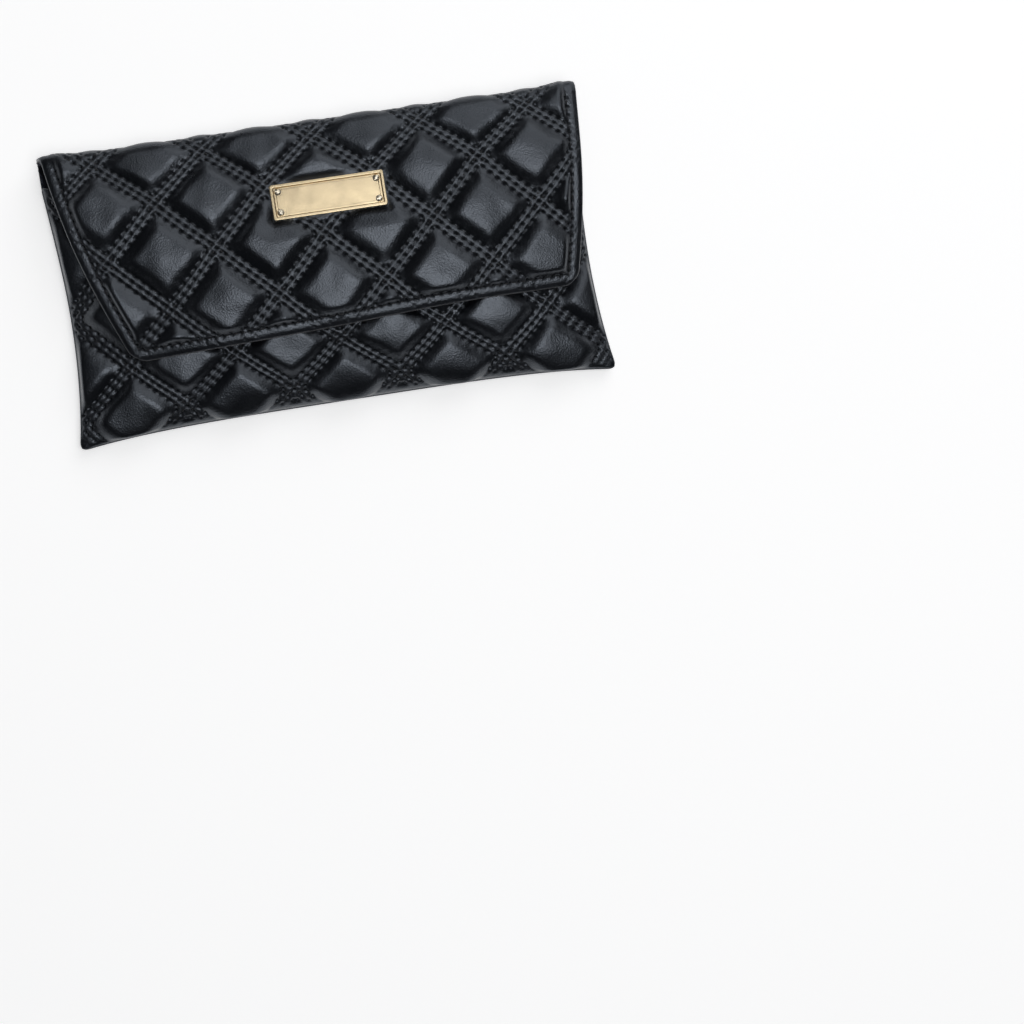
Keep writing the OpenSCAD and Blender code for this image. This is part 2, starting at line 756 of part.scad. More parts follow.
module nameplate_screw() {
    head_z = tray_t + insert_t + 0.06;
    head_r = screw_head_d / 2;
    head_h = 0.7;
    dome_r = (head_r * head_r + head_h * head_h) / (2 * head_h);
    difference() {
        union() {
            intersection() {
                translate([0, 0, head_z + head_h - dome_r])
                    sphere(r = dome_r, $fn = 48);
                translate([0, 0, head_z])
                    cylinder(r = head_r + 1, h = head_h + 1, $fn = 48);
            }
            translate([0, 0, -leather_t - backing_t])
                cylinder(d = screw_d, h = leather_t + backing_t + head_z + 0.1, $fn = 32);
        }
        translate([-head_r - 1, -0.2, head_z + head_h - 0.35])
            cube([2 * head_r + 2, 0.4, 2]);
    }
}

module nameplate_screws() {
    color("#d2ba78")
        plate_frame_place()
            for (sx = [-1, 1])
                for (sy = [-1, 1])
                    translate([sx * screw_x, sy * screw_y, 0])
                        rotate([0, 0, 35 * sx + 20 * sy])
                            nameplate_screw();
}

module nameplate_backing() {
    color("#b9bcc0")
        plate_frame_place()
            difference() {
                translate([-backing_w / 2, -backing_l / 2, -leather_t - backing_t - 0.04])
                    cube([backing_w, backing_l, backing_t]);
                screw_holes(-4, 6);
            }
}

back_leather();
back_wadding();
back_lining();
front_leather();
front_wadding();
front_lining();
snap_cap();
snap_magnet();
snap_core();
snap_base();
snap_patch();
snap_washer();
fold_leather();
fold_wadding();
fold_lining();
flap_leather();
flap_wadding();
flap_board();
flap_lining();
stud_plate();
stud_patch();
stud_washer();
nameplate_frame();
nameplate_insert();
nameplate_screws();
nameplate_backing();
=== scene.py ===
import math

import bmesh
import bpy
import numpy as np
from bpy.props import FloatProperty, FloatVectorProperty, IntProperty, PointerProperty
from mathutils import Matrix, Vector


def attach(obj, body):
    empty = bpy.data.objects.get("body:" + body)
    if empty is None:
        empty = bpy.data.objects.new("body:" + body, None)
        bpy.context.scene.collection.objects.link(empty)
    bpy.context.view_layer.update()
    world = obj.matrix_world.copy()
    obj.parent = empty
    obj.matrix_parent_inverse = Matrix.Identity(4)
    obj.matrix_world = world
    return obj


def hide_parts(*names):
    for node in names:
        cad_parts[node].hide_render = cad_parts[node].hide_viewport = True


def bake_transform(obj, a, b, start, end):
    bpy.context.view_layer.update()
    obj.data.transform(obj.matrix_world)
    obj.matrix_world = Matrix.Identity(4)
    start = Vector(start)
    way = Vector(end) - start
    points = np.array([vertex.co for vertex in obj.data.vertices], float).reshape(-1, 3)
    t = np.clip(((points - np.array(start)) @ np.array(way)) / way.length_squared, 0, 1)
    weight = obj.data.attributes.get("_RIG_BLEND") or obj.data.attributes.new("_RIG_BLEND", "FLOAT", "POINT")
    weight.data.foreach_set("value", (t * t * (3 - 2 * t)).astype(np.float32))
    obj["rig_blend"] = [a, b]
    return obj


bl_info = {
    "name": "Quilted jewellery case",
    "version": (1, 0, 0),
    "blender": (4, 5, 0),
    "location": "3D View > Sidebar > Case",
    "description": "Leather, velvet, thread and metalwork of a quilted jewellery case",
    "category": "Object",
}

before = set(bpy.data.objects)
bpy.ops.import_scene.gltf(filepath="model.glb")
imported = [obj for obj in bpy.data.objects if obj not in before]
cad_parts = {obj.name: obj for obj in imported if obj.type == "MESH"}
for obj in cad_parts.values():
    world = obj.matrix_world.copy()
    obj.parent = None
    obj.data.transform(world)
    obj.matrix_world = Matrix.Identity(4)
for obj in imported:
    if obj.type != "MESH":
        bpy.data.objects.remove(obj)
MM = 0.001

# ---- Sizes in millimetres that the solid model has too ----
HALF_W = 107.0
FOLD_Y = 53.0
MOUTH_CORNER_Y = 46.0
MOUTH_DIP = 12.5
BOTTOM_CORNER_Y = -58.0
BOTTOM_PULL = 4.0
SIDE_PULL = 3.5
CREST_Z = 18.7
SEAM_Z = 4.5
SEAM_T = 1.2
PLY_GAP = 0.02
FRONT_LEN = 101.0
FIRST_ROW = 2.5
QUILTS_ACROSS = 5
PITCH_X = 42.8
QUILT_LEN = 42.0
ROWS_PER_QUILT = 8
BACK_ROWS = 21
FOLD_ROWS = 4.19
LINING_T = 0.6
LINING_HEM = 0.4
BEND_R = 0.5
HINGE_LOW_Z = 5.0
HINGE_HIGH_Z = 17.0
BACK_OUT_R = 3.2
FLAP_OUT_R = 3.7
FLAP_STACK = 3.2
FLAP_HEM = 1.9
TIP_HALF = 88.0
TIP_Y = -25.5
TIP_IN = 2.0
FLAP_CORNER_R = 5.0
FLAP_RISE = 4.7
FLAP_ROW_Y = 12.0
CAP_R = 9.0
CAP_H = 2.7
CAP_HOLE_R = 3.3
STUD_PLATE_R = 8.25
STUD_R = 2.8
STUD_LEN = 2.0
SNAP_Y = -10.67
SEAT_Z = 17.9
STUD_TOP_Z = 22.2
PLATE_X = 3.5
PLATE_Y = 26.0
PLATE_W = 45.0
PLATE_L = 14.0

# ---- Sizes in millimetres of the soft leather and its seams alone ----
EAR_R = 3.0  # rounding of the pouch's lower corners
EAR_OUT = 1.6  # how far they are drawn out
FOLD_EAR = 2.0  # how far the fold's two ends stand out
FOLD_HALF = 105.4
FOLD_LEAN = 1.3
FOLD_SLIP = 4.7  # how much closer the diamonds come on both sides of the fold
FOLD_CALM = 0.42  # share of their height that the pads keep on the fold
FLAP_BOW = 2.6
FLAP_LEAN = 5.9
FLAP_DROOP = 3.0  # of its two free corners
TIP_FALL = 3.2
SIDE_FALL = 3.0
FLAP_EDGE_SCALE = 0.97  # true distance from the flap's slanted side, for each millimetre across
SIDE_SLANT = 1.03  # length along that side, for each millimetre down
STUD_FLAT_R = 8.8
HEM_ROW = 3.7
MOUTH_ROW = 3.5
BORDER_PITCH = 3.5
STITCH_HALF = 1.1
STITCH_SINK = -0.04
SEAM_MARGIN = 0.8  # nearest that a stitch comes to the side and lower seams
GROOVE_DEPTH = 0.05  # of a row of stitches
PIT_DEPTH = 0.85  # of a stitch's hole
PIT_R = 0.55
RIDGE_H = 0.24  # of the cord-like ridges between the rows
PUCKER_H = 0.13
DOME_H = 0.32  # share of its height that a pad rises toward its middle
WELT_FRONT_H = 0.16  # of the turned edge along the mouth
WELT_FLAP_H = 0.32  # of the turned edge round the flap
FRONT_LAST_V = 2.4  # diamonds beyond this one lie in the lower edge
BACK_LAST_V = 2.62
LOW_BAND = 21.0  # how much of the front turns in toward the lower edge

# ---- Powers of the curves ----
DROP_POWER = 1.21  # of the way from the mouth to the lower edge
FLAP_ARCH = 1.8  # of the arch between the fold and the snap

# ---- Fineness of the meshes ----
COARSE = 4  # squares of a panel's outer face along one square of its inner face
TUBE_SIDES = 6
AXIS_R = 0.02  # radius that turned pieces leave open round their axis

LINE_GAP = PITCH_X * QUILT_LEN / math.hypot(PITCH_X, QUILT_LEN)
ROW_L = QUILT_LEN / ROWS_PER_QUILT
PLATE_SHARE = (FOLD_Y - PLATE_Y) / (FOLD_Y - SNAP_Y)
PLATE_SLOPE = FLAP_RISE * FLAP_ARCH * (1 - PLATE_SHARE) ** (FLAP_ARCH - 1) / (FOLD_Y - SNAP_Y)

# Where the soft pieces bend: start and end of each bend, in metres
LOW_BEND = ((0, 0.0500, 0.0), (0, 0.0575, 0.0085))
HIGH_BEND = ((0, 0.0575, 0.0135), (0, 0.0500, 0.0220))


def clamp(v, low=0.0, high=1.0):
    return np.clip(v, low, high)


def ease(v):
    c = clamp(v)
    return c * c * (3 - 2 * c)


def mix(a, b, k):
    return a + (b - a) * k


def bell(d, width):
    return np.exp(-((d / width) ** 2))


def from_side(s):
    """Distance from the nearer side of the case."""
    return (1 - np.abs(s)) * HALF_W


def from_snap(x, y):
    """Distance from the snap's upright axis."""
    return np.hypot(x, y - SNAP_Y)


# ---- Relief of the quilting, in millimetres over the stitch lines ----


def wander(x):
    """How far a seam strays from its ruled line at x."""
    return 0.20 * np.sin(0.13 * x) + 0.10 * np.sin(0.29 * x + 2.0)


def hashed(i, j):
    """A steady chance value from 0 to 1 for each diamond."""
    h = np.sin(i * 127.1 + j * 311.7) * 43758.5453
    return h - np.floor(h)


def creases(x, y, seed, waves, low, high):
    """Soft random waves between two lengths, from about -1 to 1."""
    rng = np.random.default_rng(seed)
    total = np.zeros(np.broadcast(x, y).shape)
    for _ in range(waves):
        angle = rng.uniform(0, 2 * np.pi)
        length = rng.uniform(low, high)
        phase = rng.uniform(0, 2 * np.pi)
        bend = rng.uniform(0.5, 2.0)
        k = 2 * np.pi / length
        along = x * np.cos(angle) + y * np.sin(angle)
        total += np.sin(k * along + phase + bend * np.sin(0.31 * k * (x - y)))
    return total / math.sqrt(waves) / 1.6


def row_relief(d, along, pitch):
    """One row of stitches: its groove with a pit at each hole. d is the distance from the row."""
    q = (along / pitch - np.round(along / pitch)) * pitch
    pit = np.exp(-((np.hypot(d, 0.85 * q) / PIT_R) ** 3))
    return -GROOVE_DEPTH * bell(d, 0.5) - PIT_DEPTH * pit, pit


def line_relief(d, along):
    """A triple seam: three rows of stitches with two cord-like ridges between them, and the
    puckers beside it. All of them swell and sink with the stitches."""
    gap = settings().row_gap
    pitch = LINE_GAP / settings().stitches_per_side
    k = clamp(np.round(d / gap), -1, 1)
    low, pit = row_relief(d - k * gap, along, pitch)
    beat = np.cos(2 * np.pi * (along / pitch - 0.5))
    high = RIDGE_H * np.exp(-((np.abs(d) - gap / 2) ** 4)) * (1 + 0.22 * beat)
    side = clamp(np.abs(d) - gap, 0, 50)
    pucker = PUCKER_H * np.exp(-side / 1.2) * (1 - np.exp(-side / 0.5)) * beat
    return low, high, pucker, pit


def pad_profile(d, flank=1.2, turn=5.2):
    """Height from 0 on a seam to 1 on top of a pad, at a distance d from the seam's middle.
    The flank rises evenly over its width, and then turns over into the pad's top."""
    reach = clamp(np.abs(d) - settings().row_gap - 0.2, 0, 50)
    k = clamp((reach - flank) / turn)
    rise = np.minimum(reach, flank) + turn * (k - k**3 + k**4 / 2)
    return rise / (flank + turn / 2)


def quilting(u, v, x, y, pad_h, pad_fade, seam_fade, calm, last_v=math.inf):
    """Relief of quilted leather where u and v count diamonds, with the masks for painted shade and
    highlight.
    No two pads are quite alike, but calm is 0 where two panels meet, so that they meet at
    the same height. Diamonds with their middle beyond last_v lie in an edge, nearly flat."""
    a = u + v
    b = u - v
    stray = wander(x)
    na, nb = np.round(a), np.round(b)
    da = (a - na) * LINE_GAP + stray
    db = (b - nb) * LINE_GAP - stray
    dome = DOME_H * np.sin(np.pi * (a - np.floor(a))) * np.sin(np.pi * (b - np.floor(b)))
    low_a, high_a, pucker_a, pit_a = line_relief(da, b * LINE_GAP)
    low_b, high_b, pucker_b, pit_b = line_relief(db, a * LINE_GAP)
    pads = pad_profile(da) * pad_profile(db)
    pads = np.where((np.floor(a) - np.floor(b)) / 2 > last_v, 0.25 * pads, pads)
    chance = hashed(np.floor(a), np.floor(b))
    size = 1 + calm * 0.16 * (chance - 0.5)
    lean = calm * 0.10 * np.sin(6.28 * chance + 0.21 * x + 0.17 * y)
    soft = 0.6
    band_a, band_b = (ease((settings().row_gap + soft - np.abs(d)) / soft) for d in (da, db))
    ridge = high_a * (1 - 0.45 * band_b) + high_b * (1 - 0.45 * band_a)
    slack = creases(x, y, seed=7, waves=9, low=9.0, high=24.0)
    tuck = creases(x, y, seed=11, waves=7, low=3.0, high=6.0)
    edge = pads * (1 - pads) * 4
    h = pad_h * pads * pad_fade * (size + lean + dome - 0.17)
    h = h + pads * pad_fade * (0.19 * slack + 0.008 * tuck)
    h = h + pad_fade * edge * (0.05 * tuck + 0.12 * slack)
    h = h + (pucker_a + pucker_b) * pad_fade
    h = h + seam_fade * (np.minimum(low_a, low_b) + ridge)
    h = h + 0.04 * seam_fade * (band_a + band_b) * tuck
    # The third mask is the raised ridges' height, for the painted highlight on them.
    return h, np.maximum(pit_a, pit_b) * seam_fade, ridge * seam_fade * 2.2


# ---- Forms of the panels: s runs across from -1 to 1 ----


def quilt_u(s):
    """Diamonds counted across the pouch."""
    return s * QUILTS_ACROSS / 2 + 0.5


def round_corner(x, half, over, r):
    """Rounds an outline's corners. over is the distance past their centres' level, away from
    the middle. It gives x, the same distance rounded, and where a corner is."""
    px = (np.abs(x) - half + r) / r
    py = over / r
    corner = (px > 0) & (py > 0)
    scale = np.where(corner, np.maximum(px, py) / np.maximum(np.hypot(px, py), 1e-9), 1)
    return np.where(corner, np.sign(x) * (half - r + r * px * scale), x), r * py * scale, corner


def mouth_y(s):
    return MOUTH_CORNER_Y - MOUTH_DIP * (1 - np.abs(s) ** 2.3)


def bottom_y(s):
    return BOTTOM_CORNER_Y + BOTTOM_PULL * (1 - s**4)


def blunt(x, y):
    """Draws the two lower corners of the pouch out a little, and rounds them off."""
    x = x * (1 + EAR_OUT / HALF_W * clamp((12 - y) / 70) ** 1.5)
    level = BOTTOM_CORNER_Y + EAR_R
    x, over, corner = round_corner(x, HALF_W + EAR_OUT, level - y, EAR_R)
    return x, np.where(corner, level - over, y)


def front_place(s, t):
    """Place on the front: t counts millimetres over its puffed middle, down from the mouth."""
    k = clamp(t / FRONT_LEN)
    x = s * (HALF_W - SIDE_PULL * np.sin(np.pi * k))
    y = mix(mouth_y(s), bottom_y(s), 1 - (1 - k) ** DROP_POWER)
    return blunt(x, y)


def front_height(s, t, depth, rim):
    """A ply of the puffed front: depth under its face, and rim over the seam at its edge.
    It sinks a little toward the mouth, and is flat under the snap."""
    x, y = front_place(s, t)
    k = clamp(t / FRONT_LEN)
    to_mouth = 1 - clamp(k / 0.4)
    full = 1 / 1.8
    bulge = clamp(1 - np.abs(s) ** 2.6) ** full * clamp(1 - k**3) ** full
    bulge = bulge * (1 - 0.15 * to_mouth * to_mouth)
    z = SEAM_Z + rim + (CREST_Z - depth - SEAM_Z - rim) * bulge
    seat = ease((from_snap(x, y) - CAP_R - 6) / 6)
    return np.stack([x, y, mix(SEAT_Z - depth, z, seat)], -1)


def front_depth(t):
    """Thickness of the front with its wadding, thinned out toward the mouth."""
    return mix(2.0, 3.4, ease(t / 14))


def front_v(t):
    """Diamonds counted down the front, a little stretched where it turns in to the lower edge."""
    turn_in = clamp((t - (FRONT_LEN - LOW_BAND)) / LOW_BAND) ** 1.5
    return (t - 6.5 * turn_in - FIRST_ROW) / QUILT_LEN


def front_relief(s, t):
    """Relief of the front, which ends at the side and lower seams, the mouth's row and the cap."""
    x, y = front_place(s, t)
    r = from_snap(x, y)
    side = from_side(s)
    low = FRONT_LEN - t
    pad_fade = ease(side / 3.2) * ease(low / 4) * ease((t - 3.4) / 5) * ease((r - 9.4) / 4.5)
    seam_fade = ease(side / 1.5) * ease(low / 12) * ease((t - 3.6) / 0.8) * ease((r - 9.0) / 1.2)
    pad_h = settings().pad_height
    h, pit, ridge = quilting(
        quilt_u(s), front_v(t), x, y, pad_h, pad_fade, seam_fade, 1.0, FRONT_LAST_V
    )
    low, hole = row_relief(t - MOUTH_ROW, s * HALF_W, BORDER_PITCH)
    mouth = ease((3.4 - np.abs(t - MOUTH_ROW)) / 1.5) * ease(side / 3)
    h = h + low * mouth + WELT_FRONT_H * bell(t - 1.5, 1.3) * ease(side / 3)
    return h, np.maximum(pit, hole * mouth), ridge


def side_at(y):
    """Half width of the pouch at y."""
    k = clamp((MOUTH_CORNER_Y - y) / (MOUTH_CORNER_Y - BOTTOM_CORNER_Y))
    return HALF_W - SIDE_PULL * np.sin(np.pi * (1 - (1 - k) ** (1 / DROP_POWER)))


def spine_place(s, c, r):
    """Point round the fold: c runs from 0 under the lower hinge to FOLD_ROWS over the upper one."""
    rows = [0, 0.5, 1, 3, 3.6, FOLD_ROWS]
    low, high = HINGE_LOW_Z, HINGE_HIGH_Z
    angle = np.radians(np.interp(c, rows, [-90, -42, 0, 0, 42, 90]))
    z0 = np.interp(c, rows, [low, low, low + 0.5, high - 0.5, high, high])
    ear = FOLD_EAR * bell(from_side(s), 12) * np.cos(angle) ** 2
    return np.stack([s * HALF_W, FOLD_Y + r * np.cos(angle) + ear, z0 + r * np.sin(angle)], -1)


def back_rows(round_fold, down):
    """Row values j of the back: from -2 at mid spine to 0 round the fold, then down the back."""
    return np.concatenate(
        [np.linspace(-2, 0, round_fold, endpoint=False), np.linspace(0, BACK_ROWS, down)]
    )


def from_bottom(j):
    """Distance from the back's lower edge."""
    return (BACK_ROWS - j) * ROW_L


def back_place(s, j, depth=None):
    """The back panel's outer face, or a ply at a depth under its inner one."""
    side = from_side(s)
    y = mix(FOLD_Y - 0.05, bottom_y(s), clamp(j, 0, BACK_ROWS) / BACK_ROWS)
    inset = clamp(side / 9)
    down = clamp(from_bottom(j) / 9)
    k = (1 - (1 - inset) ** 2) * (1 - (1 - down) ** 2)
    if depth is None:
        z = SEAM_Z - SEAM_T - 1.5 * k
        r = BACK_OUT_R - 0.9 * (1 - ease(side / 7))
    else:
        z = SEAM_Z - PLY_GAP - (depth - PLY_GAP) * k
        r = BEND_R + depth
    flat = np.stack(np.broadcast_arrays(*blunt(s * side_at(y), y), z), -1)
    bent = spine_place(s, clamp(-j, 0, 2), r)
    return np.where((j < 0)[..., None], bent, flat)


def back_v(j):
    """Diamonds counted down the back from the fold line."""
    return j / ROWS_PER_QUILT + FOLD_SLIP / QUILT_LEN * (1 - ease(j / 16))


def back_relief(s, j):
    """Relief of the back, calmer where it rounds the fold."""
    y = mix(FOLD_Y, bottom_y(s), clamp(j, 0, BACK_ROWS) / BACK_ROWS)
    side = from_side(s)
    low = from_bottom(j)
    calm = ease((j + 1) / 3)
    pad_fade = ease(side / 7) * ease(low / 8) * mix(FOLD_CALM, 1, ease((j + 1) / 4))
    seam_fade = ease(side / 1.5) * ease(low / 1.5) * mix(0.7, 1, calm)
    pad_h = settings().back_pad_height
    return quilting(quilt_u(s), back_v(j), s * HALF_W, y, pad_h, pad_fade, seam_fade, calm)


def flap_edge_y(x):
    """Free edge, a little aslant and wavy as a soft flap lies, at x from the flap's own middle."""
    slant, wave, wave_x = 0.026, 1.2, 38
    return TIP_Y + 1.1 + slant * x + wave * bell(x - wave_x, wave_x)


def flap_share(y):
    """Share of the way from the fold line to the flap's outermost edge."""
    return clamp((FOLD_Y - y) / (FOLD_Y - TIP_Y + TIP_IN))


def flap_half(y):
    """Half width of the flap, whose sides run together and bow out a little."""
    k = flap_share(y)
    return mix(FOLD_HALF, TIP_HALF, k) + FLAP_BOW * np.sin(np.pi * k)


def flap_lean(y):
    """How far the soft flap's middle lies to the right of the case's."""
    return FOLD_LEAN + FLAP_LEAN * flap_share(y) ** 1.2


def flap_inside(x, y):
    """Distance from the flap's outline."""
    own = x - flap_lean(y)
    side = (flap_half(y) - np.abs(own)) * FLAP_EDGE_SCALE
    return clamp(np.minimum(side, y - flap_edge_y(own)), 0, 200)


def flap_under_free(x, y):
    """The flap's inner face, arched from the fold to the snap, and down again past it and
    toward both sides."""
    u = (FOLD_Y - y) / (FOLD_Y - SNAP_Y)
    rise = FLAP_RISE * (1 - (1 - clamp(u)) ** FLAP_ARCH) - TIP_FALL * clamp(u - 1, 0, 9)
    return HINGE_HIGH_Z + BEND_R + rise - SIDE_FALL * (x / HALF_W) ** 2 * clamp(u, 0, 1.2)


def plate_gap(x, y):
    """Distance from the nameplate's outline, below 0 under it."""
    across = np.abs(x - PLATE_X) - PLATE_W / 2
    along = np.abs(y - PLATE_Y) - PLATE_L / 2
    out = np.hypot(clamp(across, 0, 500), clamp(along, 0, 500))
    return out + np.minimum(np.maximum(across, along), 0)


def flap_under(x, y):
    """The flap's inner face, with drooping corners and flats at the nameplate and the snap."""
    plate = flap_under_free(0 * x, PLATE_Y + 0 * y) - PLATE_SLOPE * (y - PLATE_Y)
    off_plate = ease((plate_gap(x, y) - 5.3) / 6)
    off_stud = ease((from_snap(x, y) - STUD_FLAT_R) / 7)
    droop = FLAP_DROOP * ease((np.abs(x - flap_lean(y)) - 48) / 40) * ease((30 - y) / 45)
    return mix(STUD_TOP_Z, mix(plate, flap_under_free(x, y) - droop, off_plate), off_stud)


def flap_xy(s, k):
    """Place on the flap: s across, k from the fold to the free edge, with rounded corners."""
    y = mix(FOLD_Y, flap_edge_y(TIP_HALF * s), k)
    x = s * flap_half(y)
    level = flap_edge_y(x) + FLAP_CORNER_R
    x, over, corner = round_corner(x, flap_half(y), level - y, FLAP_CORNER_R)
    y = np.where(corner, level - over, y)
    return x + flap_lean(y), y


def flap_place(s, w, depth, hem, out_r):
    """A face of the flap: depth over its inner one, thinned to hem at its outline. w runs from -1
    at mid spine over 0 at the fold line to 1 at the free edge. out_r holds the radii round the
    lower and the upper hinge."""
    x, y = flap_xy(s, clamp(w))
    stud = 1 - ease((from_snap(x, y) - STUD_FLAT_R) / 4)
    k = np.maximum(ease(flap_inside(x, y) / 7), stud)
    flat = np.stack([x, y, flap_under(x, y) + mix(hem, depth, k)], -1)
    c = FOLD_ROWS + (FOLD_ROWS - 2) * clamp(w, -1, 0)
    thinned = (depth - hem) * (1 - ease(from_side(s) / 7))
    bent = spine_place(s, c, mix(*out_r, c / FOLD_ROWS) - thinned)
    bent[..., 0] = spine_x(s, w)
    return np.where((w < 0)[..., None], bent, flat)


def spine_x(s, w):
    """Across the fold, from the pouch's width at mid spine to the flap's at the fold line."""
    return mix(HALF_W * s, FOLD_HALF * s + FOLD_LEAN, ease(clamp(w, -1, 0) + 1))


def flap_v(y):
    """Diamonds counted down the flap, closer where it rounds over toward the fold."""
    start = 31
    slip = FOLD_SLIP * clamp((y - start) / (FOLD_Y - start)) ** 1.6
    return (FLAP_ROW_Y - y - slip) / QUILT_LEN


def flap_quilt_v(y, w):
    """Diamonds counted along the flap, and on round the fold."""
    past_fold = (FOLD_ROWS - 2) * clamp(w, -1, 0) / ROWS_PER_QUILT
    return np.where(w < 0, flap_v(FOLD_Y) + past_fold, flap_v(y))


def flap_w(s, y):
    """Share of the way from the fold to the free edge."""
    return (FOLD_Y - y) / (FOLD_Y - flap_edge_y(TIP_HALF * s))


def flap_relief(s, w):
    """Relief of the flap, which ends at its hem's row and lies bare round the nameplate."""
    x, y = flap_xy(s, clamp(w))
    inside = flap_inside(x, y)
    gap = plate_gap(x, y)
    on_flap = w >= 0
    bare = np.where(on_flap, ease((gap + 0.4) / 3.6) * mix(0.5, 1, ease(gap / 9)), 1)
    from_hem = pad_profile(clamp(1.8 * (inside - HEM_ROW) + 1.7, 0, 200))
    pad_fade = from_hem * bare * mix(FOLD_CALM, 1, ease((w + 0.25) / 0.45))
    seam_fade = mix(0.25, 1, ease((inside - 3.6) / 0.8)) * ease(inside / 1.2)
    seam_fade = seam_fade * np.where(on_flap, ease(gap), 1) * mix(0.7, 1, ease((w + 0.25) / 0.35))
    calm = ease((w + 0.02) / 0.08)
    pad_h = mix(settings().back_pad_height, settings().pad_height, ease(w * 3))
    v = flap_quilt_v(y, w)
    x = np.where(on_flap, x, spine_x(s, w))
    h, pit, ridge = quilting(x / PITCH_X, v, x, y, pad_h, pad_fade, seam_fade, calm)
    own = x - flap_lean(y)
    at_side = (flap_half(y) - np.abs(own)) * FLAP_EDGE_SCALE < y - flap_edge_y(own)
    along = np.where(at_side, y * SIDE_SLANT, own)
    low, hole = row_relief(inside - HEM_ROW, along, BORDER_PITCH)
    hem = ease(2.5 - np.abs(inside - HEM_ROW))
    h = h + low * hem + WELT_FLAP_H * bell(inside - 1.5, 1.3) * ease(inside / 0.8)
    loose = creases(x, y, seed=5, waves=6, low=9.0, high=20.0)
    h = h + 0.12 * loose * ease((5 - inside) / 2)
    return h, np.maximum(pit, hole * hem), ridge


# ---- Mesh building ----


def finish_mesh(name, points, faces, material, sharp=None):
    """A named object from points in millimetres."""
    mesh = bpy.data.meshes.new(name)
    mesh.from_pydata((np.asarray(points) * MM).tolist(), [], faces)
    work = bmesh.new()
    work.from_mesh(mesh)
    bmesh.ops.recalc_face_normals(work, faces=work.faces)
    work.to_mesh(mesh)
    work.free()
    mesh.polygons.foreach_set("use_smooth", [True] * len(mesh.polygons))
    if sharp:
        mesh.set_sharp_from_angle(angle=math.radians(sharp))
    mesh.update()
    piece = bpy.data.objects.new(name, mesh)
    bpy.context.scene.collection.objects.link(piece)
    piece.data.materials.append(material)
    return piece


def store(piece, name, values):
    """Keeps a value for each of the first points, for the finish to read."""
    attribute = piece.data.attributes.new(name, "FLOAT", "POINT")
    full = np.zeros(len(piece.data.vertices), np.float32)
    full[: len(values)] = values
    attribute.data.foreach_set("value", full)


def grid_quads(rows, cols, start=0):
    """The squares of a grid whose first point has the index start."""
    i, j = np.meshgrid(np.arange(rows - 1), np.arange(cols - 1), indexing="ij")
    a = (start + i * cols + j).ravel()
    return np.stack([a, a + cols, a + cols + 1, a + 1], 1)


def border(rows, cols, start=0):
    """Indices of a grid's outline, in order round it."""
    top = [start + i for i in range(cols - 1)]
    right = [start + j * cols + cols - 1 for j in range(rows - 1)]
    low = [start + (rows - 1) * cols + i for i in range(cols - 1, 0, -1)]
    left = [start + j * cols for j in range(rows - 1, 0, -1)]
    return np.array(top + right + low + left)


def unit(v):
    """Vectors brought to length 1."""
    return v / np.maximum(np.linalg.norm(v, axis=-1, keepdims=True), 1e-9)


def outward(loop):
    """Direction out of a closed outline in its own surface, level with the table."""
    tangent = np.roll(loop, -1, 0) - np.roll(loop, 1, 0)
    out = unit(np.stack([-tangent[:, 1], tangent[:, 0], 0 * tangent[:, 0]], 1))
    if np.sum((loop - loop.mean(0)) * out) < 0:
        out = -out
    for _ in range(3):
        out = (out + np.roll(out, 1, 0) + np.roll(out, -1, 0)) / 3
    return out


def normals_of(grid, sign=1):
    """Directions out of a grid at each of its points."""
    return unit(np.cross(np.gradient(grid, axis=0), np.gradient(grid, axis=1)) * sign)


def closed_panel(name, top, under, material, bulge, joined):
    """A closed panel: fine top grid, rounded rim, and a coarser under grid.
    A joined panel runs on into another one at its first row, which is shaded without a rim."""
    rows, cols = top.shape[:2]
    under_rows, under_cols = under.shape[:2]
    loop = border(rows, cols)
    upper = top.reshape(-1, 3)[loop]
    coarse = under.reshape(-1, 3)[border(under_rows, under_cols)]
    n = len(loop)
    at = np.arange(n) / COARSE
    first = np.floor(at).astype(int) % len(coarse)
    share = (at - np.floor(at))[:, None]
    lower = coarse[first] * (1 - share) + coarse[(first + 1) % len(coarse)] * share
    out = outward(upper)
    if joined:
        out = out * (loop >= cols)[:, None]
    thick = np.linalg.norm(upper - lower, axis=1, keepdims=True)
    points = [top.reshape(-1, 3)]
    faces = grid_quads(rows, cols).tolist()
    base = rows * cols
    previous = loop
    for down, proud in ((0.12, 0.6), (0.35, 0.95), (0.65, 0.95), (0.88, 0.6)):
        points.append(mix(upper, lower, down) + out * thick * bulge * proud)
        current = np.arange(base, base + n)
        ring = [previous, np.roll(previous, -1), np.roll(current, -1), current]
        faces += np.stack(ring, 1).tolist()
        previous = current
        base += n
    points.append(under.reshape(-1, 3))
    faces += grid_quads(under_rows, under_cols, base).tolist()
    small = border(under_rows, under_cols, base)
    for i in range(len(small)):
        fine = [int(previous[(i * COARSE + k) % n]) for k in range(COARSE + 1)]
        faces.append(fine + [int(small[(i + 1) % len(small)]), int(small[i])])
    piece = finish_mesh(name, np.concatenate(points), faces, material)
    if joined:
        ends = np.zeros(len(piece.data.edges) * 2, np.int64)
        piece.data.edges.foreach_get("vertices", ends)
        attributes = piece.data.attributes
        mark = attributes.get("sharp_edge") or attributes.new("sharp_edge", "BOOLEAN", "EDGE")
        mark.data.foreach_set("value", (ends.reshape(-1, 2) < cols).all(1))
    return piece


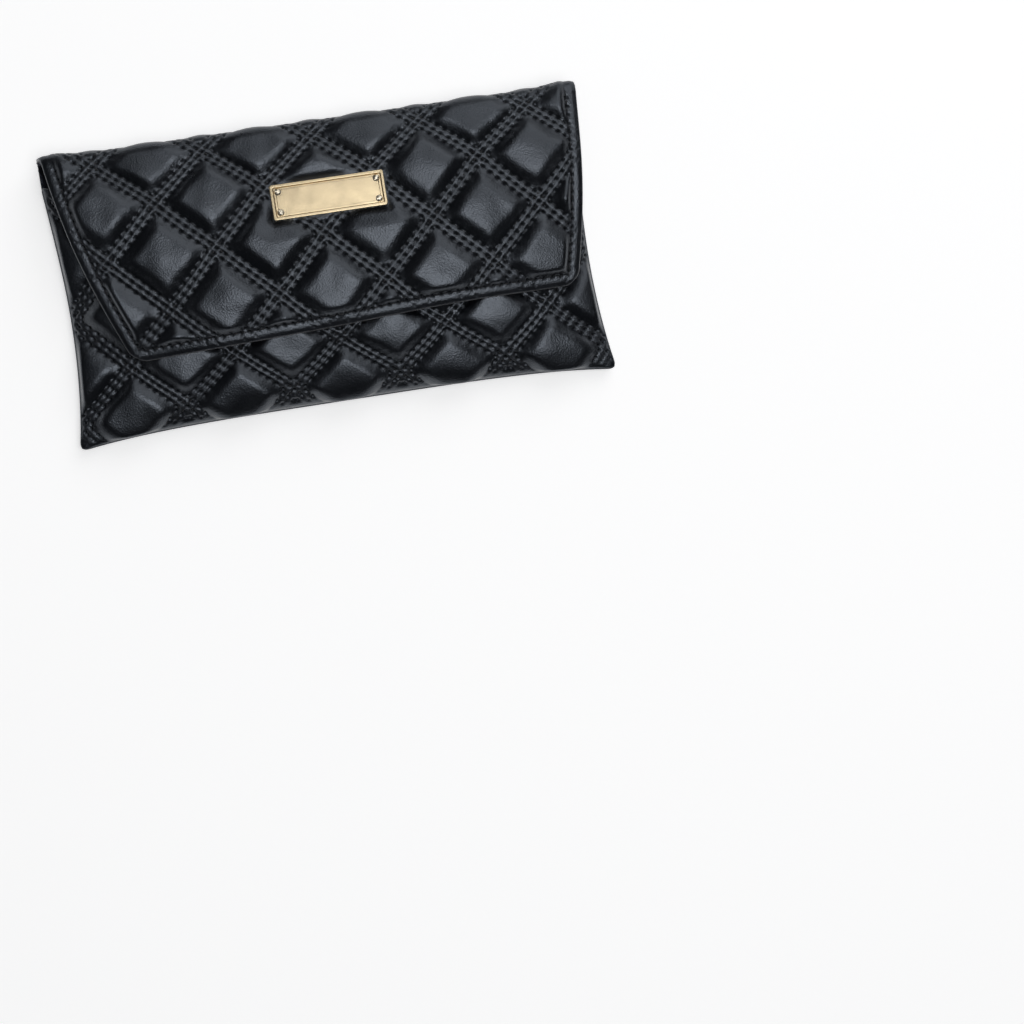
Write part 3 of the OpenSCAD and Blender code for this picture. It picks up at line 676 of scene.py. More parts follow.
class Panel:
    """A panel's smooth form and its relief on a fine grid, for its mesh and its threads."""

    def __init__(self, place, relief, s, w, sign=1, floor=None):
        self.s, self.w = s, w
        ss, ww = np.meshgrid(s, w)
        self.base = place(ss, ww)
        self.normal = normals_of(self.base, sign)
        self.relief, self.pit, self.ridge = relief(ss, ww)
        self.skin = self.base + self.normal * self.relief[..., None]
        if floor is not None:
            low, soft = self.skin[..., 2], 0.3
            pressed = floor + soft * np.exp((low - floor - soft) / soft)
            self.skin[..., 2] = np.where(low < floor + soft, pressed, low)

    def leather(self, name, under, bulge, joined=False):
        """The panel's leather over its inner face."""
        piece = closed_panel(name, self.skin, under, finish("leather"), bulge, joined)
        # The stitch holes' mask, for the painted shade in them
        store(piece, "pit", self.pit.ravel())
        # The raised ridges' mask, for the painted highlight on them
        store(piece, "ridge_highlight", self.ridge.ravel())
        return piece

    def sample(self, grid, s, w):
        """Values between the points of one of the panel's grids."""
        i = np.interp(w, self.w, np.arange(len(self.w)))
        j = np.interp(s, self.s, np.arange(len(self.s)))
        i0 = np.minimum(i.astype(int), len(self.w) - 2)
        j0 = np.minimum(j.astype(int), len(self.s) - 2)
        fi, fj = (i - i0)[..., None], (j - j0)[..., None]
        return (
            grid[i0, j0] * (1 - fi) * (1 - fj)
            + grid[i0 + 1, j0] * fi * (1 - fj)
            + grid[i0, j0 + 1] * (1 - fi) * fj
            + grid[i0 + 1, j0 + 1] * fi * fj
        )

    def point(self, s, w, lift=STITCH_SINK):
        """Points over the smooth form, and the directions out of it."""
        n = self.sample(self.normal, s, w)
        return self.sample(self.base, s, w) + n * lift, n

    def stitch_row(self, spot):
        """One row of stitches. spot gives s and w at a distance from each stitch's middle."""
        ends = [self.point(*spot(d)) for d in (-STITCH_HALF, 0, STITCH_HALF)]
        return ends[0][0], ends[1][0], ends[2][0], ends[1][1]


def ring_points(centre, across, up, wide, high):
    """A ring of points round each centre, wide and high being its half widths."""
    turn = np.arange(TUBE_SIDES) * 2 * np.pi / TUBE_SIDES
    return (
        centre[:, None]
        + across[:, None] * (wide * np.cos(turn))[None, :, None]
        + up[:, None] * (high * np.sin(turn))[None, :, None]
    )


def tube_faces(rings):
    """The side faces and the two end caps of a tube with so many rings."""
    quads = []
    for r in range(rings - 1):
        for k in range(TUBE_SIDES):
            a, b = r * TUBE_SIDES + k, r * TUBE_SIDES + (k + 1) % TUBE_SIDES
            quads.append([a, b, b + TUBE_SIDES, a + TUBE_SIDES])
    last = (rings - 1) * TUBE_SIDES
    return quads, [list(range(TUBE_SIDES))[::-1], [last + k for k in range(TUBE_SIDES)]]


# A stitch's rings: place from -1 to 1 along it, share of its girth, share of its dip
STITCH_FORM = ((-1, 0.45, 1), (-0.76, 0.9, 0.3), (0, 1, 0), (0.76, 0.9, 0.3), (1, 0.45, 1))


def stitches(name, ends, material, radius=0.27, dip=0.55):
    """Short sunk stitches as one piece. ends holds (start, middle, end, normal) arrays."""
    start, middle, end, normal = (np.concatenate([e[i] for e in ends]) for i in range(4))
    tangent = end - start
    tangent = tangent / np.linalg.norm(tangent, axis=1, keepdims=True)
    normal = normal - tangent * np.sum(normal * tangent, 1, keepdims=True)
    normal = normal / np.linalg.norm(normal, axis=1, keepdims=True)
    across = np.cross(tangent, normal)
    rings = []
    for at, girth, drop in STITCH_FORM:
        centre = middle + (end - middle) * max(at, 0) + (start - middle) * max(-at, 0)
        g = girth * radius
        rings.append(ring_points(centre + normal * (-drop * dip), across, normal, g, g * 0.9))
    points = np.stack(rings, 1).reshape(-1, 3)
    quads, caps = tube_faces(len(rings))
    first = (np.arange(len(start)) * len(rings) * TUBE_SIDES)[:, None, None]
    faces = (np.array(quads)[None] + first).reshape(-1, 4).tolist()
    faces += (np.array(caps)[None] + first).reshape(-1, TUBE_SIDES).tolist()
    return finish_mesh(name, points, faces, material)


def quilt_stitches(panel, to_grid, keep, half_u, v_range):
    """Stitches of the triple seams on one panel, along both diagonals. to_grid turns u and v
    into the panel's s and w, and keep tells where stitches may lie."""
    per = settings().stitches_per_side
    gap = settings().row_gap
    found = []
    span = int(2 * half_u + 3)
    for family in (1, -1):
        for n in range(-span, span + 1):
            for row in (-1, 0, 1):
                k = np.arange(-span * per, span * per)
                pieces = []
                for share in (0.2, 0.5, 0.8):  # a stitch's start, middle and end
                    along = (k + share) / per
                    x = PITCH_X * (n + along) / 2
                    offset = (row * gap - family * wander(x)) / LINE_GAP
                    mine = n + offset
                    a, b = (mine, along) if family == 1 else (along, mine)
                    u, v = (a + b) / 2, (a - b) / 2
                    pieces.append((*to_grid(u, v), v))
                v = pieces[1][2]
                ok = (v > v_range[0]) & (v < v_range[1])
                for s, w, _ in pieces:
                    ok &= keep(s, w)
                if ok.any():
                    pts = [panel.point(s[ok], w[ok]) for s, w, _ in pieces]
                    found.append((pts[0][0], pts[1][0], pts[2][0], pts[1][1]))
    return found


# ---- Finishes ----


class Finish:
    """A node material under construction, with a Principled shader at its end."""

    def __init__(self, name, **sockets):
        self.material = bpy.data.materials.new(name)
        self.material.use_nodes = True
        self.tree = self.material.node_tree
        self.tree.nodes.clear()
        output = self.tree.nodes.new("ShaderNodeOutputMaterial")
        self.shader = self.tree.nodes.new("ShaderNodeBsdfPrincipled")
        self.tree.links.new(self.shader.outputs[0], output.inputs[0])
        for key, value in sockets.items():
            self.shader.inputs[key.replace("_", " ")].default_value = value
        place = self.tree.nodes.new("ShaderNodeTexCoord").outputs["Object"]
        turned = {"Rotation": (0.6, 0.35, 0.8)}
        self.coord = self.node("Mapping", {"Vector": place}, turned).outputs[0]

    def node(self, kind, links=(), values=(), **choices):
        made = self.tree.nodes.new("ShaderNode" + kind)
        for key, value in choices.items():
            setattr(made, key, value)
        for key, value in dict(values).items():
            made.inputs[key].default_value = value
        for key, source in dict(links).items():
            self.tree.links.new(source, made.inputs[key])
        return made

    def noise(self, scale, detail=3.0, rough=0.55, distort=0.0):
        values = {"Scale": scale, "Detail": detail, "Roughness": rough, "Distortion": distort}
        return self.node("TexNoise", {"Vector": self.coord}, values).outputs["Fac"]

    def cells(self, scale):
        return self.node("TexVoronoi", {"Vector": self.coord}, {"Scale": scale}).outputs["Distance"]

    def painted(self, name):
        """A value kept on the piece's own points."""
        return self.node("Attribute", attribute_name=name).outputs["Fac"]

    def math(self, operation, a, b):
        made = self.tree.nodes.new("ShaderNodeMath")
        made.operation = operation
        for i, value in enumerate((a, b)):
            if isinstance(value, (int, float)):
                made.inputs[i].default_value = value
            else:
                self.tree.links.new(value, made.inputs[i])
        return made.outputs[0]

    def spread(self, source, low, high, to_low, to_high):
        """Stretches the range from low to high out to the other two values."""
        values = {"From Min": low, "From Max": high, "To Min": to_low, "To Max": to_high}
        return self.node("MapRange", {"Value": source}, values).outputs[0]

    def blend(self, factor, a, b):
        made = self.node("Mix", data_type="RGBA")
        self.tree.links.new(factor, made.inputs[0])
        for i, value in ((6, a), (7, b)):
            if isinstance(value, (tuple, list)):
                made.inputs[i].default_value = (*value[:3], 1)
            else:
                self.tree.links.new(value, made.inputs[i])
        return made.outputs[2]

    def bump(self, height, strength, distance, normal=None):
        """Fine relief in the shading, over another one where normal is given."""
        links = {"Height": height}
        if normal:
            links["Normal"] = normal
        return self.node("Bump", links, {"Strength": strength, "Distance": distance}).outputs[0]

    def to(self, socket, source):
        self.tree.links.new(source, self.shader.inputs[socket])


def shade(tone, factor):
    return tuple(c * factor for c in tone)


def leather_finish():
    tone = tuple(colours().leather)
    f = Finish("black_leather", IOR=1.52)
    f.shader.inputs["Specular Tint"].default_value = (0.80, 0.88, 1.0, 1)
    pit = f.painted("pit")
    ridge_highlight = f.painted("ridge_highlight")
    cloud = f.noise(55, 3)
    base = f.blend(f.spread(cloud, 0.35, 0.7, 0, 1), tone, shade(tone, 1.5))
    # Painted highlight: the raised ridges are lightened, up to 2.6 times the leather's tone.
    ridge_light = f.math("MULTIPLY", ridge_highlight, f.spread(f.noise(900, 2), 0.4, 0.7, 0.2, 1))
    base = f.blend(ridge_light, base, tuple(c * 2.6 + 0.009 for c in tone))
    # Painted shade in the stitch holes: their colour goes near black here, and their reflection is turned
    # down below.
    base = f.blend(pit, base, (0.001, 0.001, 0.0012))
    f.to("Base Color", base)
    rough = f.spread(f.noise(90, 4), 0.3, 0.7, 0.27, 0.36)
    rough = f.math("ADD", rough, f.math("MULTIPLY", ridge_highlight, 0.12))
    rough = f.math("ADD", rough, f.math("MULTIPLY", pit, 0.35))
    f.to("Roughness", rough)
    f.to("Specular IOR Level", f.spread(pit, 0.25, 0.95, 0.85, 0.1))
    grain = f.math("ADD", f.cells(1500), f.math("MULTIPLY", f.noise(2600, 2), 0.8))
    f.to("Normal", f.bump(grain, 0.36, 0.00018))
    return f.material


def velvet_finish():
    tone = tuple(colours().velvet)
    f = Finish("navy_velvet", Sheen_Roughness=0.42, Specular_IOR_Level=0.2)
    f.shader.inputs["Sheen Tint"].default_value = (0.60, 0.67, 0.92, 1)
    nap_and_painted_sheen = f.noise(15, 3, 0.5, 1.6)
    f.to("Sheen Weight", f.spread(nap_and_painted_sheen, 0.38, 0.66, 0.25, 1.0))
    nap = f.noise(420, 2)
    # Painted sheen: the broad patches also swing the base colour from 0.45 to 2.2 times its tone.
    base = f.blend(f.spread(nap_and_painted_sheen, 0.38, 0.66, 0, 1), shade(tone, 0.45), shade(tone, 2.2))
    base = f.blend(f.spread(nap, 0.3, 0.7, 0, 0.5), base, shade(tone, 0.4))
    f.to("Base Color", base)
    f.to("Roughness", f.spread(nap_and_painted_sheen, 0.38, 0.66, 0.9, 0.6))
    pile = f.bump(f.noise(3200, 2), 0.5, 0.0002)
    f.to("Normal", f.bump(nap_and_painted_sheen, 0.35, 0.0016, pile))
    return f.material


def metal_finish(name, tone, rough_low, rough_high, grain, wave=0.0):
    f = Finish(name, Metallic=1.0)
    cloud = f.noise(140, 3)
    f.to("Base Color", f.blend(f.spread(cloud, 0.3, 0.7, 0, 1), tone, shade(tone, 0.9)))
    f.to("Roughness", f.spread(f.noise(700, 4, 0.7), 0.3, 0.75, rough_low, rough_high))
    normal = f.bump(f.noise(2600, 2), grain, 0.0001)
    if wave:
        normal = f.bump(f.noise(85, 1, 0.4, 0.8), wave, 0.0004, normal)
    f.to("Normal", normal)
    return f.material


def thread_finish():
    f = Finish("black_thread", Specular_IOR_Level=0.4, Sheen_Weight=0.15)
    values = {"Scale": 900.0, "Distortion": 1.5}
    wave = f.node("TexWave", {"Vector": f.coord}, values, bands_direction="DIAGONAL")
    twist = wave.outputs["Fac"]
    tone = tuple(colours().thread)
    f.to("Base Color", f.blend(twist, tone, shade(tone, 2.2)))
    f.to("Roughness", f.spread(twist, 0, 1, 0.42, 0.62))
    f.to("Normal", f.bump(twist, 0.5, 0.0001))
    return f.material


def fibre_finish(name, tone, scale):
    f = Finish(name, Specular_IOR_Level=0.3)
    strands = f.noise(scale, 5, 0.7, 1.0)
    f.to("Base Color", f.blend(f.spread(strands, 0.3, 0.7, 0, 1), shade(tone, 0.75), tone))
    f.to("Roughness", f.spread(strands, 0.3, 0.7, 0.7, 0.9))
    f.to("Normal", f.bump(strands, 0.5, 0.0003))
    return f.material


def floor_finish():
    """Pale paper that looks white to the camera and in the metal, and keeps its shadows."""
    f = Finish("studio_paper", Specular_IOR_Level=0.0, Roughness=1.0)
    tone = tuple(colours().floor)
    paper = f.blend(f.noise(3.0, 2), tone, tuple(min(1, c * 1.01) for c in tone))
    f.to("Base Color", paper)
    f.to("Emission Color", paper)
    path = f.node("LightPath").outputs
    seen = f.math("MAXIMUM", path["Is Camera Ray"], path["Is Glossy Ray"])
    seen = f.math("MAXIMUM", seen, path["Is Transmission Ray"])
    f.to("Emission Strength", f.math("MULTIPLY", seen, 0.56))
    return f.material


# ---- Sizes and colours that a user would change ----


class CaseSizes(bpy.types.PropertyGroup):
    pad_height: FloatProperty(
        name="Pad height",
        description="Height of a quilted pad over its seams, mm",
        default=2.5, min=1.0, max=3.5,
    )
    back_pad_height: FloatProperty(
        name="Back pad height",
        description="Height of the pads on the back and the fold, mm",
        default=2.0, min=1.0, max=3.0,
    )
    row_gap: FloatProperty(
        name="Seam row gap",
        description="Distance between the three stitch rows of a seam, mm",
        default=2.4, min=1.5, max=3.5,
    )
    stitches_per_side: IntProperty(
        name="Stitches per diamond",
        description="Stitches along one side of a diamond",
        default=8, min=5, max=14,
    )


class CaseColours(bpy.types.PropertyGroup):
    leather: FloatVectorProperty(
        name="Leather", description="Colour of the leather",
        subtype="COLOR", default=(0.0014, 0.0016, 0.0024), min=0, max=1,
    )
    velvet: FloatVectorProperty(
        name="Velvet", description="Colour of the lining",
        subtype="COLOR", default=(0.0110, 0.0126, 0.0205), min=0, max=1,
    )
    gold: FloatVectorProperty(
        name="Gold", description="Colour of the nameplate's frame and plate",
        subtype="COLOR", default=(0.67, 0.545, 0.352), min=0, max=1,
    )
    thread: FloatVectorProperty(
        name="Thread", description="Colour of the stitching",
        subtype="COLOR", default=(0.006, 0.006, 0.008), min=0, max=1,
    )
    floor: FloatVectorProperty(
        name="Floor", description="Colour of the floor",
        subtype="COLOR", default=(0.92, 0.92, 0.92), min=0, max=1,
    )


def settings():
    return bpy.context.scene.case_sizes


def colours():
    return bpy.context.scene.case_colours


MADE = {}


def finish(name):
    """One of the shared finishes, made when it is first asked for."""
    gold = tuple(colours().gold)
    metals = {  # tone, roughness from and to, depth of the grain, depth of the waves
        "plate_gold": (gold, 0.16, 0.24, 0.04, 0.22),
        "rim_gold": (shade(gold, 0.95), 0.14, 0.22, 0.04),
        "screw_gold": ((0.92, 0.84, 0.68), 0.30, 0.42, 0.04),
        "satin_gold": ((0.80, 0.68, 0.45), 0.36, 0.5, 0.3),
        "mirror_gold": ((0.90, 0.82, 0.66), 0.04, 0.09, 0.01),
        "steel": ((0.55, 0.55, 0.56), 0.3, 0.45, 0.1),
        "magnet": ((0.2, 0.2, 0.21), 0.35, 0.5, 0.1),
    }
    fibres = {  # tone, fineness of the strands
        "board": ((0.32, 0.27, 0.2), 300),
        "cut_edge": ((0.20, 0.20, 0.21), 900),
    }
    soft = {"leather": leather_finish, "velvet": velvet_finish, "thread": thread_finish}
    if name not in MADE:
        if name in metals:
            MADE[name] = metal_finish(name, *metals[name])
        elif name in fibres:
            MADE[name] = fibre_finish(name, *fibres[name])
        else:
            MADE[name] = soft[name]()
    return MADE[name]


# ---- Operators ----


def s_values(squares):
    """Values of s across a panel, with so many coarse squares."""
    return np.linspace(-1, 1, COARSE * squares + 1)


def quilt_s(u):
    """Place across the pouch from its count of diamonds."""
    return (u - 0.5) * 2 / QUILTS_ACROSS


class CASE_OT_front(bpy.types.Operator):
    """Make the quilted front of the pouch and its seams"""

    bl_idname = "case.front"
    bl_label = "Front"

    def execute(self, context):
        s = s_values(107)
        fine = 6  # the rows lie closer together along the mouth
        near_mouth = np.linspace(0, fine, 16, endpoint=False)
        t = np.concatenate([near_mouth, np.linspace(fine, FRONT_LEN, 189)])
        panel = Panel(lambda ss, tt: front_height(ss, tt, 0, SEAM_T), front_relief, s, t)
        ss, tt = np.meshgrid(s[::COARSE], t[::COARSE])
        under = front_height(ss, tt, front_depth(tt), PLY_GAP)
        piece = panel.leather("front_panel", under, bulge=0.42)
        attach(piece, "pouch")
        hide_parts("front_leather", "front_wadding")

        def keep(s_, t_):
            on = (from_side(s_) > SEAM_MARGIN) & (t_ > 3.8) & (t_ < FRONT_LEN - SEAM_MARGIN)
            return on & (from_snap(*front_place(s_, t_)) > 9.6)

        def to_grid(u, v):
            return quilt_s(u), np.interp(v, front_v(t), t)

        v_range = (0, front_v(FRONT_LEN - 5))
        found = quilt_stitches(panel, to_grid, keep, half_u=3.5, v_range=v_range)
        x = np.arange(-29, 30) * BORDER_PITCH + BORDER_PITCH / 2
        x = x[np.abs(x) < HALF_W - 4]
        row = np.full(len(x), MOUTH_ROW)
        found.append(panel.stitch_row(lambda d: ((x + d) / HALF_W, row)))
        thread = stitches("front_stitches", found, finish("thread"))
        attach(thread, "pouch")
        return {"FINISHED"}


class CASE_OT_back(bpy.types.Operator):
    """Make the quilted back of the pouch, up to the middle of the fold"""

    bl_idname = "case.back"
    bl_label = "Back"

    def execute(self, context):
        s = s_values(89)
        j = back_rows(round_fold=24, down=185)
        panel = Panel(back_place, back_relief, s, j, sign=-1, floor=0.02)
        under = back_place(*np.meshgrid(s[::COARSE], j[::COARSE]), LINING_T)
        piece = panel.leather("back_panel", under, bulge=0.35, joined=True)
        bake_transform(piece, "pouch", "fold", *LOW_BEND)
        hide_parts("back_leather", "back_wadding", "fold_leather", "fold_wadding")

        def keep(s_, j_):
            on = (from_side(s_) > SEAM_MARGIN) & (from_bottom(j_) > SEAM_MARGIN)
            return on & (j_ > -1.95)

        def to_grid(u, v):
            return quilt_s(u), np.interp(v, back_v(j), j)

        v_range = (back_v(-1.98), BACK_LAST_V)
        found = quilt_stitches(panel, to_grid, keep, half_u=3.5, v_range=v_range)
        thread = stitches("back_stitches", found, finish("thread"))
        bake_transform(thread, "pouch", "fold", *LOW_BEND)
        return {"FINISHED"}


class CASE_OT_flap(bpy.types.Operator):
    """Make the quilted flap, from the middle of the fold to its free edge"""

    bl_idname = "case.flap"
    bl_label = "Flap"

    def execute(self, context):
        s = s_values(107)
        w = np.concatenate([np.linspace(-1, 0, 24, endpoint=False), np.linspace(0, 1, 161)])
        radii = (BACK_OUT_R, FLAP_OUT_R)
        panel = Panel(
            lambda ss, ww: flap_place(ss, ww, FLAP_STACK, FLAP_HEM, radii), flap_relief, s, w
        )
        ss, ww = np.meshgrid(s[::COARSE], w[::COARSE])
        depth, hem = LINING_T + PLY_GAP, LINING_HEM + PLY_GAP
        under = flap_place(ss, ww, depth, hem, (BEND_R + depth, BEND_R + depth))
        inside = flap_inside(under[..., 0], under[..., 1])
        under[..., 2] += 0.85 * ease((inside - 3) / 6) * ease(ww / 0.1)
        piece = panel.leather("flap_panel", under, bulge=0.3, joined=True)
        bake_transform(piece, "fold", "flap", *HIGH_BEND)
        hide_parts("flap_leather", "flap_wadding", "flap_board")

        def to_grid(u, v):
            rows = np.linspace(FOLD_Y, -40, 400)
            y = np.interp(v, flap_v(rows), rows)
            x = PITCH_X * u
            round_fold = v < flap_v(FOLD_Y)
            s_fold = (x - FOLD_LEAN) / FOLD_HALF
            s_ = np.where(round_fold, s_fold, (x - flap_lean(y)) / flap_half(y))
            w_fold = ROWS_PER_QUILT * (v - flap_v(FOLD_Y)) / (FOLD_ROWS - 2)
            return s_, np.where(round_fold, w_fold, flap_w(clamp(s_, -1, 1), y))

        def keep(s_, w_):
            x, y = flap_xy(clamp(s_, -1, 1), clamp(w_))
            inside = np.where(w_ < 0, from_side(s_), flap_inside(x, y))
            ok = (np.abs(s_) < 1) & (w_ > -0.98) & (w_ < 1) & (inside > HEM_ROW + 0.9)
            return ok & ((w_ < 0) | (plate_gap(x, y) > 0.6))

        found = quilt_stitches(panel, to_grid, keep, half_u=2.6, v_range=(-1.37, 1.0))
        found += self.hem_rows(panel)
        thread = stitches("flap_stitches", found, finish("thread"))
        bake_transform(thread, "fold", "flap", *HIGH_BEND)
        self.cut_edge()
        return {"FINISHED"}

    def hem_rows(self, panel):
        """Stitches of the hem, along both sides and the free edge."""
        y = (np.arange(-8, 16) + 0.5) * BORDER_PITCH / SIDE_SLANT
        y = y[(y > -22.5) & (y < FOLD_Y - 1)]
        x = (np.arange(-26, 26) + 0.5) * BORDER_PITCH
        x = x[np.abs(x) < TIP_HALF - 4.5]

        def at(xx, yy):
            s = xx / flap_half(yy)
            return s, flap_w(s, yy)

        def at_side(sign, yy):
            return at(sign * (flap_half(yy) - HEM_ROW / FLAP_EDGE_SCALE), yy)

        found = [panel.stitch_row(lambda d: at_side(sign, y + d)) for sign in (-1, 1)]
        found.append(panel.stitch_row(lambda d: at(x + d, flap_edge_y(x + d) + HEM_ROW)))
        return found

    def cut_edge(self):
        """The pale line of the cut edge between the leather's hem and the lining."""
        n, depth = 160, 0.5
        w = np.linspace(-0.9, 0.985, n)
        full = np.full(n, 1.0)
        route = ((full, w), (np.linspace(1, -1, n), full), (-full, w[::-1]))
        radii = (1.05, 1.05)
        outline = np.concatenate([flap_place(ss, ww, depth, depth, radii) for ss, ww in route])
        tangent = unit(np.gradient(outline, axis=0))
        out = np.cross(tangent, [0, 0, -1.0])
        if np.sum(out[:, 0] * outline[:, 0]) < 0:
            out = -out
        out = unit(out)
        wide, high = 0.30, 0.16
        rings = ring_points(outline + out * wide, out, np.cross(out, tangent), wide, high)
        quads, caps = tube_faces(len(outline))
        piece = finish_mesh("flap_cut_edge", rings.reshape(-1, 3), quads + caps, finish("cut_edge"))
        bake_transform(piece, "fold", "flap", *HIGH_BEND)


def lining_sheet(name, inner, outer):
    """A thin closed lining between two grids of the same size."""
    rows, cols = inner.shape[:2]
    n = rows * cols
    points = np.concatenate([inner.reshape(-1, 3), outer.reshape(-1, 3)])
    faces = grid_quads(rows, cols).tolist() + grid_quads(rows, cols, n)[:, ::-1].tolist()
    loop = border(rows, cols)
    after = np.roll(loop, -1)
    faces += np.stack([loop, after, after + n, loop + n], 1).tolist()
    return finish_mesh(name, points, faces, finish("velvet"))


def slack_velvet(grid, seed):
    """Soft waves of loose velvet over a grid, from about 0 to 1."""
    return 0.5 + 0.5 * creases(grid[..., 0], grid[..., 1], seed, waves=6, low=18, high=45)


class CASE_OT_lining(bpy.types.Operator):
    """Make the velvet linings of the pocket and the flap"""

    bl_idname = "case.lining"
    bl_label = "Linings"

    def execute(self, context):
        s = s_values(35)
        self.front(s)
        self.back(s)
        self.flap(s)
        return {"FINISHED"}

    def front(self, s):
        ss, tt = np.meshgrid(s, np.linspace(0.3, FRONT_LEN, 68))
        inner = front_height(ss, tt, front_depth(tt) + LINING_T, 0.0)
        rim = ease((1 - np.abs(ss)) * 12) * ease((FRONT_LEN - tt) / 12) * ease(tt / 8)
        inner[..., 2] -= 0.5 * rim * slack_velvet(inner, seed=21)
        outer = front_height(ss, tt, front_depth(tt) + PLY_GAP, PLY_GAP / 2)
        piece = lining_sheet("pocket_front_lining", inner, outer)
        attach(piece, "pouch")
        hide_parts("front_lining")

    def back(self, s):
        ss, jj = np.meshgrid(s, back_rows(round_fold=10, down=71))
        inner = back_place(ss, jj, 0.0)
        rim = ease((1 - np.abs(ss)) * 12) * ease((BACK_ROWS - jj) / 3) * ease(jj / 3)
        inner[..., 2] += 0.45 * rim * slack_velvet(inner, seed=22)
        outer = back_place(ss, jj, LINING_T - PLY_GAP)
        piece = lining_sheet("pocket_back_lining", inner, outer)
        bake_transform(piece, "pouch", "fold", *LOW_BEND)
        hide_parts("back_lining", "fold_lining")

    def flap(self, s):
        w = np.concatenate([np.linspace(-1, 0, 12, endpoint=False), np.linspace(0, 1, 90)])
        ss, ww = np.meshgrid(s, w)
        inner = flap_place(ss, ww, 0.0, 0.0, (BEND_R, BEND_R))
        x, y = inner[..., 0], inner[..., 1]
        inside = np.where(ww < 0, 0, flap_inside(x, y))
        lift = self.folds(x, y) * ease((inside - 3) / 9) * ease(ww / 0.12)
        lift = lift * ease((from_snap(x, y) - 9.5) / 8)
        hem = 0.12 * bell(inside - HEM_ROW, 0.9) * (ww > 0)
        inner[..., 2] += 0.55 * lift + hem
        outer = flap_place(ss, ww, LINING_T, LINING_HEM, (BEND_R + LINING_T, BEND_R + LINING_T))
        outer[..., 2] += 0.55 * lift
        piece = lining_sheet("flap_velvet", inner, outer)
        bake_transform(piece, "fold", "flap", *HIGH_BEND)
        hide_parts("flap_lining")
        self.lining_rows()

    def folds(self, x, y):
        """Broad soft pulls in the velvet that run out from the snap."""
        r = from_snap(x, y)
        turn = np.arctan2(y - SNAP_Y, x)
        wave = 0.5 + 0.5 * np.sin(5 * turn + 0.9 * np.sin(2 * turn + 0.6) + 0.018 * r)
        broad = 0.5 + 0.5 * creases(x, y, seed=31, waves=5, low=28, high=60)
        return wave**1.5 * np.exp(-r / 75) + 0.55 * broad

    def lining_rows(self):
        """The hem's stitches where they show on the velvet."""
        y = np.arange(-5, 15) * BORDER_PITCH + 1.7
        x = np.arange(-24, 24) * BORDER_PITCH + 1.7
        half = 1.2

        def spot(px, py):
            return np.stack([px, py, flap_under(px, py) - 0.05], -1)

        def at_side(sign, yy):
            return spot(sign * (flap_half(yy) - HEM_ROW / FLAP_EDGE_SCALE) + flap_lean(yy), yy)

        def at_tip(xx):
            return spot(xx + flap_lean(TIP_Y), flap_edge_y(xx) + HEM_ROW)

        rows = [[at_side(sign, y + d) for d in (-half, 0, half)] for sign in (-1, 1)]
        rows.append([at_tip(x + d) for d in (-half, 0, half)])
        found = [(*row, np.tile([0, 0, -1.0], (len(row[0]), 1))) for row in rows]
        thread = stitches("lining_stitches", found, finish("thread"), radius=0.16, dip=0.3)
        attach(thread, "flap")


def lathe(name, profile, base_z, material, sides=144, ticks=None):
    """A piece turned round the snap's upright axis: profile is a closed list of (radius, height).
    ticks gives what a ring of short marks adds to the height."""
    turn = np.arange(sides) * 2 * np.pi / sides
    rr, zz = (np.tile([point[i] for point in profile], (sides, 1)) for i in (0, 1))
    if ticks is not None:
        zz = zz + ticks(turn[:, None], rr)
    x = rr * np.cos(turn)[:, None]
    y = SNAP_Y + rr * np.sin(turn)[:, None]
    points = np.stack([x, y, base_z + zz], -1)
    count = len(profile)
    faces = []
    for k in range(sides):
        here, there = k * count, ((k + 1) % sides) * count
        for i in range(count):
            after = (i + 1) % count
            faces.append([here + i, here + after, there + after, there + i])
    return finish_mesh(name, points.reshape(-1, 3), faces, material, sharp=40)


def arc(cx, cz, r, a0, a1, n):
    """Points of a profile round an arc, its two angles in degrees."""
    angle = np.radians(np.linspace(a0, a1, n))
    return [(cx + r * math.cos(a), cz + r * math.sin(a)) for a in angle]


